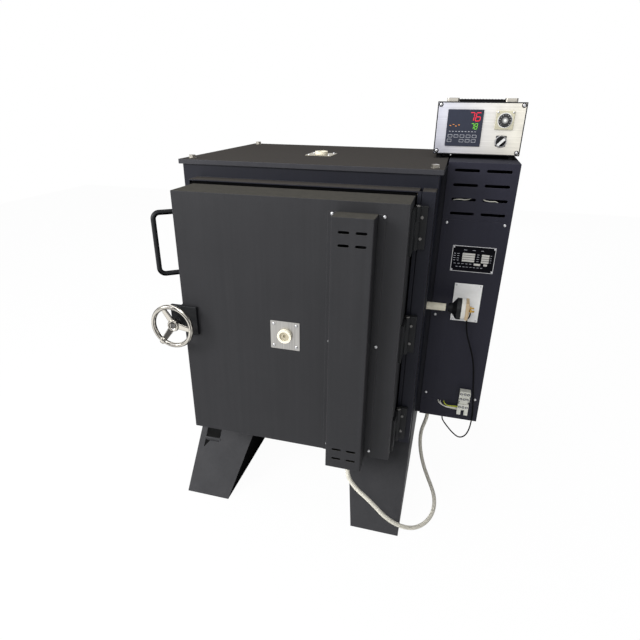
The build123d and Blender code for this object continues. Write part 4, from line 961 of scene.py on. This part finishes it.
def braided(name):
    """White glass-fibre sleeving: two families of strands that pass over and under."""
    shader = Shader(name, coordinates="UV")
    weave = []
    for turn in (1, -1):
        wave = shader.add("ShaderNodeTexWave", wave_type="BANDS", bands_direction="X")
        wave.inputs["Scale"].default_value = 1.0
        wave.inputs["Distortion"].default_value = 0.4
        shader.link(shader.stretched((1.4, 1.4, 1), (0, 0, turn * 0.7)), wave.inputs["Vector"])
        weave.append(wave.outputs["Fac"])
    over = shader.math("MAXIMUM", *weave)
    height = shader.span(over, 0, 1, 0.3, 0.95)
    # Painted shade: the sleeve is much darker where the strands dip between each other.
    thread = shader.blend(height, srgb(150, 145, 130), srgb(246, 243, 232))
    grime = shader.noise(9, 6)
    sleeve = shader.blend(shader.span(grime, 0, 0.3), thread, srgb(216, 208, 186))
    return shader.finish(sleeve, shader.span(grime, 0.7, 0.9), over, 0.0004, 0.6)


def hose():
    line = nurbs("hose_line", HOSE_ROUTE)
    graph = bpy.context.evaluated_depsgraph_get()
    sampled = bpy.data.meshes.new_from_object(line.evaluated_get(graph))
    path = [v.co.copy() for v in sampled.vertices]
    bpy.data.objects.remove(line)
    strands, lay, sides = 8, 2 * math.pi / 0.038, 32

    def lift(along, angle):
        first = math.sin(strands * angle / 2 + lay * along * strands / 4)
        second = math.sin(strands * angle / 2 - lay * along * strands / 4)
        return 0.0005 * max(first * first, second * second) - 0.0005

    mesh = sweep_ring("braided_hose", divided(path, 0.0008), HOSE_RADIUS, sides, lift)
    layer = mesh.uv_layers.new(name="braid")
    for polygon in mesh.polygons[:-2]:
        columns = [index % sides for index in polygon.vertices]
        wrap = max(columns) - min(columns) > sides / 2
        for loop, index in zip(polygon.loop_indices, polygon.vertices):
            row, column = divmod(index, sides)
            column += sides if wrap and column == 0 else 0
            layer.data[loop].uv = (row * 0.8, column * 39.3 / sides)
    piece = keep(mesh, "braided_hose", braided("hose_braid"), None)
    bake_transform(piece)
    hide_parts("white_hose")


def lead():
    piece = keep(nurbs("black_lead", LEAD_ROUTE, LEAD_RADIUS), "black_lead", rubber)
    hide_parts("thermocouple_lead")


hose()
lead()


def gland(name, point, radius, bore, body, replaced=None):
    """A cable gland that hangs under a sheet: a hexagon and a ribbed dome nut."""
    inner = bore + 0.0003
    profile = [(inner, 0), (radius, 0), (radius, 0.003), (0.82 * radius, 0.0035), (0.82 * radius, 0.0062)]
    profile += [(0.6 * radius + 0.4 * inner, 0.008), (inner, 0.008)]
    points, sides = [], 48
    for reach, depth in profile:
        for side in range(sides):
            angle = 2 * math.pi * side / sides
            shape = 1.0
            if reach == radius:
                shape = math.cos(math.pi / 6) / math.cos((angle % (math.pi / 3)) - math.pi / 6)
            elif reach == 0.82 * radius:
                shape = 1 + 0.03 * math.cos(12 * angle)
            width = reach * shape
            points.append((width * math.cos(angle), width * math.sin(angle), -depth))
    faces = bands(len(profile), sides, closed=True, inward=True)
    mesh = shifted(mesh_from(name, points, faces, smooth=False), point)
    piece = keep(mesh, name, black_plastic, body)
    if replaced:
        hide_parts(replaced)
    return piece


gland("hose_gland_nut", place(HOSE_X, HOSE_Y, 264), 0.011, 0.0063, "door", "hose_gland")
gland("cabinet_hose_gland", place(388, 262, 208), 0.011, 0.0063, "root", "cabinet_glands")
gland("cabinet_lead_gland", place(438, 262, 208), 0.006, 0.0023, "root")

# ---- plates on the cabinet ------------------------------------------------


def slab(name, centre, size, material, bevel=0.0004):
    return keep(shifted(bevelled_box(name, size, bevel), centre), name, material)


def bare_nameplate():
    """A black plate with a bright edge and two columns of empty fields."""
    slab("nameplate_back", place(461.5, CABINET_Y - 0.5, 762), (0.121, 0.001, 0.077), zinc, 0.0002)
    slab("nameplate", place(461.5, CABINET_Y - 1.1, 762), (0.118, 0.0008, 0.074), plate_black, 0.0002)
    fields = [(448.5, 777 - 6.7 * row, 35, 5.4) for row in range(4)]
    fields += [(495.5, 776 - 6.7 * row, 21, 5.4) for row in range(4)]
    fields += [(475, 747.5, 18, 6), (498, 747.5, 10, 6)]
    for index, (x, z, width, height) in enumerate(fields):
        centre = place(x, CABINET_Y - 1.6, z)
        slab(f"plate_field_{index}", centre, (width / 1000, 0.0004, height / 1000), field_silver, 0.0001)
    marks = [(x, 777 - 6.7 * row, 6) for x in (409, 419, 475) for row in range(4)]
    marks += [(511, 776 - 6.7 * row, 3.5) for row in range(4)]
    marks += [(412 + 11 * step, 747.5, 6) for step in range(5)]
    marks += [(418 + 10 * step, 738, 6) for step in range(8)]
    for index, (x, z, width) in enumerate(marks):
        centre = place(x, CABINET_Y - 1.5, z)
        slab(f"plate_rule_{index}", centre, (width / 1000, 0.0003, 0.0011), grey_print, 0.0001)
    for index, x in enumerate((438, 461.5, 485)):
        centre = place(x, CABINET_Y - 1.5, 789)
        slab(f"plate_mark_{index}", centre, (0.008, 0.0003, 0.0012), grey_print, 0.0001)
    corners = [(x, CABINET_Y - 1.4, z) for x in (405, 518) for z in (728, 796)]
    screws("plate_rivet", tiny_screw, corners, FRONT)


def bare_notice():
    """A plain white plate."""
    slab("notice_plate", place(461, CABINET_Y - 0.6, 626), (0.08, 0.0012, 0.121), plate_white, 0.0003)
    corners = [(x, CABINET_Y - 1.2, z) for x in (426, 496) for z in (571, 681)]
    screws("notice_rivet", tiny_screw, corners, FRONT, dull_zinc)


bare_nameplate()
bare_notice()
slab("rail_end", place(353.5, 260, 232), (0.015, 0.03, 0.046), kiln_paint, 0.001)

# ---- thermocouple terminals -----------------------------------------------

post_profile = [(0, 0), (0.0028, 0), (0.0028, 0.004), (0.0055, 0.004)]
post_profile += [(0.0055, 0.008), (0.0028, 0.0085), (0.0028, 0.016), (0, 0.0165)]
post = turned("terminal_post", post_profile, 24)
carrier = box_between("terminal_carrier", (458, 151, 604), (467, 199, 656), 0.0015)
keep(carrier, "terminal_carrier", tan_ceramic)
for index, y in enumerate((163, 187)):
    strap_mesh = box_between(f"terminal_strap_{index + 1}", (467, y - 6, 612), (468.4, y + 6, 648), 0.0004)
    keep(strap_mesh, f"terminal_strap_{index + 1}", brass)
    for level, z in enumerate((622, 640)):
        name = f"terminal_screw_{index + 1}_{level + 1}"
        stand(tiny_screw, name, place(468.4, y, z), (1, 0, 0), zinc, turn=0.5 + index)
for index, y in enumerate((163, 187)):
    stand(post, f"terminal_post_{index + 1}", place(467, y, 630), (1, 0, 0), brass)
for index, y in enumerate((163, 187)):
    start, bend, end = place(474, y, 625), place(474, (y + 175) / 2, 604), place(467, 176, 599)
    wire = [start.lerp(bend, t / 6).lerp(bend.lerp(end, t / 6), t / 6) for t in range(7)]
    name = f"terminal_wire_{index + 1}"
    keep(sweep_ring(name, wire, 0.0011, 10), name, rubber)

# ---- wires to the terminal block -------------------------------------------


def bent(points, step=0.002):
    """Points along a smooth curve that starts and ends on the outer two of its guides."""
    guides = [place(*point) for point in points]
    line = []
    spans = list(zip(guides, guides[1:], guides[2:]))
    for index, (before, corner, after) in enumerate(spans):
        start = before if index == 0 else before.lerp(corner, 0.5)
        end = after if index == len(spans) - 1 else corner.lerp(after, 0.5)
        count = max(4, round((end - start).length / step))
        for k in range(count + 1):
            t = k / count
            line.append(start.lerp(corner, t).lerp(corner.lerp(end, t), t))
    pairs = zip(line, line[1:])
    return [line[0], *(point for before, point in pairs if (point - before).length > 1e-5)]


wire_runs = (
    (
        "wire_white", wire_white,
        (417, 239, 273), (417, 231, 270), (437, 224, 259), (462, 226, 258), (484, 229, 256),
    ),
    (
        "wire_earth", wire_earth,
        (436, 239, 271), (437, 232, 266), (449, 226, 262), (468, 228, 262), (484, 230, 262),
    ),
    (
        "wire_pale", wire_white,
        (424, 239, 270), (425, 233, 265), (440, 229, 255), (464, 230, 252), (484, 231, 250),
    ),
    (
        "louvre_wire_1", wire_white,
        (372, 250, 916), (384, 246, 928), (404, 244, 931), (420, 246, 929), (436, 250, 934), (444, 252, 950),
    ),
    (
        "louvre_wire_2", wire_white,
        (452, 252, 948), (462, 246, 932), (484, 244, 928), (504, 246, 930), (516, 252, 915),
    ),
)
for name, sleeve, *guides in wire_runs:
    keep(sweep_ring(name, bent(guides), 0.0015, 10), name, sleeve)

# ---- terminal block -------------------------------------------------------

well = turned("well", [(0, 0), (0.0044, 0), (0.0044, 0.0003), (0, 0.0003)], 24)
for level, (z, depth) in enumerate(((265, 224), (298, 220), (317, 220))):
    for column, x in enumerate((488, 499, 510)):
        name = f"block_{level}_{column}"
        stand(well, f"{name}_well", place(x, depth, z), FRONT, black_plastic)
        screw_point = place(x, depth - 0.3, z)
        stand(tiny_screw, f"{name}_screw", screw_point, FRONT, brass, turn=0.7 * column + level)
for index, x in enumerate((482.8, 493.5, 504.5, 515.2)):
    rib = box_between(f"block_rib_{index}", (x - 0.8, 217, 291), (x + 0.8, 220.1, 325.5), 0.0003)
    keep(rib, f"block_rib_{index}", clear_plastic)

# ---- controller, timer and switch -----------------------------------------

SEGMENTS = {"6": "acdefg", "7": "abc", "8": "abcdefg"}


def digit(name, character, left, bottom, width, height, material):
    """A digit built from seven slanted bars on the controller's face."""
    thick = 0.1 * height
    middle = bottom + height / 2
    right, top = left + width, bottom + height
    bars = {
        "a": ((left, top), (right, top)),
        "b": ((right, top), (right, middle)),
        "c": ((right, middle), (right, bottom)),
        "d": ((left, bottom), (right, bottom)),
        "e": ((left, middle), (left, bottom)),
        "f": ((left, top), (left, middle)),
        "g": ((left, middle), (right, middle)),
    }
    points, faces = [], []
    for key in SEGMENTS[character]:
        (x0, z0), (x1, z1) = bars[key]
        along = Vector((x1 - x0, z1 - z0)).normalized()
        across = Vector((-along.y, along.x)) * thick / 2
        first = Vector((x0, z0)) + along * thick * 0.62
        last = Vector((x1, z1)) - along * thick * 0.62
        outline = [
            first - along * thick / 2,
            first + across,
            last + across,
            last + along * thick / 2,
            last - across,
            first - across,
        ]
        base = len(points)
        for y in (FACE_Y - 0.4, FACE_Y + 0.4):
            for corner in outline:
                lean = 0.12 * (corner.y - bottom)
                points.append(place(corner.x + lean, y, corner.y))
        faces.append(tuple(base + k for k in range(6)))
        faces.append(tuple(base + 6 + k for k in reversed(range(6))))
        for k in range(6):
            after = (k + 1) % 6
            faces.append((base + after, base + k, base + 6 + k, base + 6 + after))
    return keep(mesh_from(name, points, faces, smooth=False), name, material)


digit("upper_digit_1", "7", 400, 1131, 12, 21, red_lamp)
digit("upper_digit_2", "6", 417, 1131, 12, 21, red_lamp)
digit("lower_digit_1", "7", 407, 1110, 7, 14, green_lamp)
digit("lower_digit_2", "8", 417, 1110, 7, 14, green_lamp)


def key_frame(name, x, z, width, height):
    """A raised key under the controller's film, with a printed outline."""
    slab(name, place(x, FACE_Y, z), (width / 1000, 0.0012, height / 1000), screen_black, 0.0005)
    rim = {
        "top": ((0, height / 2), (width, 0.8)),
        "bottom": ((0, -height / 2), (width, 0.8)),
        "left": ((-width / 2, 0), (0.8, height)),
        "right": ((width / 2, 0), (0.8, height)),
    }
    for part, ((dx, dz), (w, h)) in rim.items():
        centre = place(x + dx, FACE_Y - 0.6, z + dz)
        slab(f"{name}_{part}", centre, (w / 1000, 0.0004, h / 1000), grey_print, 0.0001)


for column in range(5):
    key_frame(f"key_high_{column}", 354 + 16.5 * column, 1091, 11, 7)
for column, offset in enumerate((0, 2, 3, 4)):
    key_frame(f"key_low_{column}", 353 + 16.5 * offset, 1079, 11, 7)
for index, (x, z) in enumerate(((352, 1118), (360, 1121), (367, 1117), (375, 1120))):
    slab(f"status_mark_{index}", place(x, FACE_Y - 0.2, z), (0.004, 0.0008, 0.0015), amber_lamp, 0.0002)
for index in range(9):
    centre = place(352 + 8.6 * index, FACE_Y - 0.2, 1103)
    slab(f"scale_mark_{index}", centre, (0.0045, 0.0006, 0.0013), grey_print, 0.0001)


def flat_ring(name, profile, centre, material, body="root"):
    return keep(shifted(ring_mesh(name, profile), centre), name, material, body)


dial_profile = [(0.0172, 0), (0.0194, 0), (0.0194, 0.0008), (0.0172, 0.0008)]
flat_ring("dial_ring", dial_profile, place(DIAL_X, 322, DIAL_Z), white_print)
for index in range(11):
    angle = math.radians(225 - 27 * index)
    mesh = shifted(bevelled_box(f"dial_tick_{index}", (0.0024, 0.0005, 0.0007), 0.0001), (0.0138, 0, 0))
    mesh = shifted(moved(mesh, Matrix.Rotation(-angle, 4, "Y")), place(DIAL_X, 317.6, DIAL_Z))
    keep(mesh, f"dial_tick_{index}", white_print, "timer_knob")
screws("timer_screw", tiny_screw, [(DIAL_X + x, 322, DIAL_Z + 20) for x in (-20, 20)], FRONT, black_plastic)

switch_ring = [(0.0132, 0), (0.0162, 0), (0.0158, 0.0022), (0.0146, 0.0034), (0.0132, 0.0034)]
pointer = bevelled_box("switch_pointer", (0.024, 0.0012, 0.0066), 0.0005)
pointer = moved(pointer, Matrix.Rotation(-math.radians(45), 4, "Y"))
pointer = shifted(pointer, place(SWITCH_X, 307.5, SWITCH_Z))
keep(pointer, "switch_pointer", white_print, "main_switch")
flat_ring("switch_ring", switch_ring, place(SWITCH_X, 329.8, SWITCH_Z), zinc, "main_switch")
# A black rim round the stainless panel: the case's dark side, with painted shade along the line where the
# case meets the panel.
edge = box_between("panel_edge", (311.6, 332.4, 1041.6), (548.4, 336.5, 1179.4), 0.0006)
window = box_between("window", (314.4, 331, 1044.4), (545.6, 338, 1176.6))
keep(carved("panel_edge", edge, [], [window]), "panel_edge", black_plastic)

# ---- carrying strap: thick rubber, lying on the case between its caps ------

strap = box_between("strap", (368.4, 388, 1178.4), (491.6, 411.2, 1186), 0.0012)
tongue = box_between("tongue", (362, 388.6, 1181.3), (498, 410.6, 1185.7), 0.0006)
strap = keep(carved("carrying_strap", strap, [tongue], []), "carrying_strap", rubber)
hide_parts("strap_handle")

for index in range(14):
    slab(
        f"strap_rib_{index}",
        place(375 + 8.3 * index, 400, 1186.2),
        (0.003, 0.022, 0.0008),
        rubber,
        0.0003,
    )

# ---- floor, light and background ------------------------------------------

floor_mesh = mesh_from("floor", [(-5, -5, 0), (5, -5, 0), (5, 5, 0), (-5, 5, 0)], [(0, 1, 2, 3)])
floor = bpy.data.objects.new("floor", floor_mesh)
bpy.context.scene.collection.objects.link(floor)


def seen_directly(tree):
    """1 for rays that show the background: from the camera, mirrored or through glass."""
    path = tree.nodes.new("ShaderNodeLightPath")
    total = path.outputs["Is Camera Ray"]
    for key in ("Is Glossy Ray", "Is Transmission Ray"):
        node = tree.nodes.new("ShaderNodeMath")
        node.operation = "MAXIMUM"
        tree.links.new(total, node.inputs[0])
        tree.links.new(path.outputs[key], node.inputs[1])
        total = node.outputs["Value"]
    return total


floor_material = bpy.data.materials.new("floor")
floor_material.use_nodes = True
tree = floor_material.node_tree
surface = tree.nodes["Principled BSDF"]
surface.inputs["Roughness"].default_value = 0.9
surface.inputs["Base Color"].default_value = (0.86, 0.86, 0.86, 1)
glow = tree.nodes.new("ShaderNodeEmission")
glow.inputs["Strength"].default_value = 1.0
mix = tree.nodes.new("ShaderNodeMixShader")
share = tree.nodes.new("ShaderNodeMath")
share.operation = "MULTIPLY"
share.inputs[1].default_value = 0.97
tree.links.new(seen_directly(tree), share.inputs[0])
tree.links.new(share.outputs["Value"], mix.inputs["Fac"])
tree.links.new(surface.outputs["BSDF"], mix.inputs[1])
tree.links.new(glow.outputs["Emission"], mix.inputs[2])
tree.links.new(mix.outputs["Shader"], tree.nodes["Material Output"].inputs["Surface"])
floor_mesh.materials.append(floor_material)

world = bpy.data.worlds.new("studio")
world.use_nodes = True
bpy.context.scene.world = world
tree = world.node_tree
soft = tree.nodes["Background"]
soft.inputs["Color"].default_value = (0.95, 0.97, 1.0, 1)
heading = tree.nodes.new("ShaderNodeSeparateXYZ")
tree.links.new(tree.nodes.new("ShaderNodeTexCoord").outputs["Generated"], heading.inputs["Vector"])
flag = tree.nodes.new("ShaderNodeMapRange")
for key, number in (("From Min", -0.3), ("From Max", 0.6), ("To Min", 0.56), ("To Max", 0.16)):
    flag.inputs[key].default_value = number
tree.links.new(heading.outputs["X"], flag.inputs["Value"])
tree.links.new(flag.outputs["Result"], soft.inputs["Strength"])
white = tree.nodes.new("ShaderNodeBackground")
white.inputs["Color"].default_value = (1, 1, 1, 1)
white.inputs["Strength"].default_value = 1.0
mix = tree.nodes.new("ShaderNodeMixShader")
tree.links.new(seen_directly(tree), mix.inputs["Fac"])
tree.links.new(soft.outputs["Background"], mix.inputs[1])
tree.links.new(white.outputs["Background"], mix.inputs[2])
tree.links.new(mix.outputs["Shader"], tree.nodes["World Output"].inputs["Surface"])


def softbox(name, location, target, size, power):
    data = bpy.data.lights.new(name, "AREA")
    data.shape = "RECTANGLE"
    data.size, data.size_y = size
    data.energy = power
    lamp = bpy.data.objects.new(name, data)
    lamp.location = location
    lamp.rotation_euler = (Vector(target) - Vector(location)).to_track_quat("-Z", "Y").to_euler()
    bpy.context.scene.collection.objects.link(lamp)


softbox("key", (-2.0, -2.5, 2.0), (-0.1, -0.2, 0.6), (1.5, 1.5), 94)
softbox("front", (-0.2, -3.2, 2.7), (0.3, 0, 0.6), (1.3, 1.3), 46)
softbox("top", (-0.4, -0.1, 3.0), (0, 0, 0.9), (2.0, 2.0), 39)
softbox("rear", (-0.6, 4.2, 0.6), (0, 0.5, 0.6), (1.6, 0.6), 50)
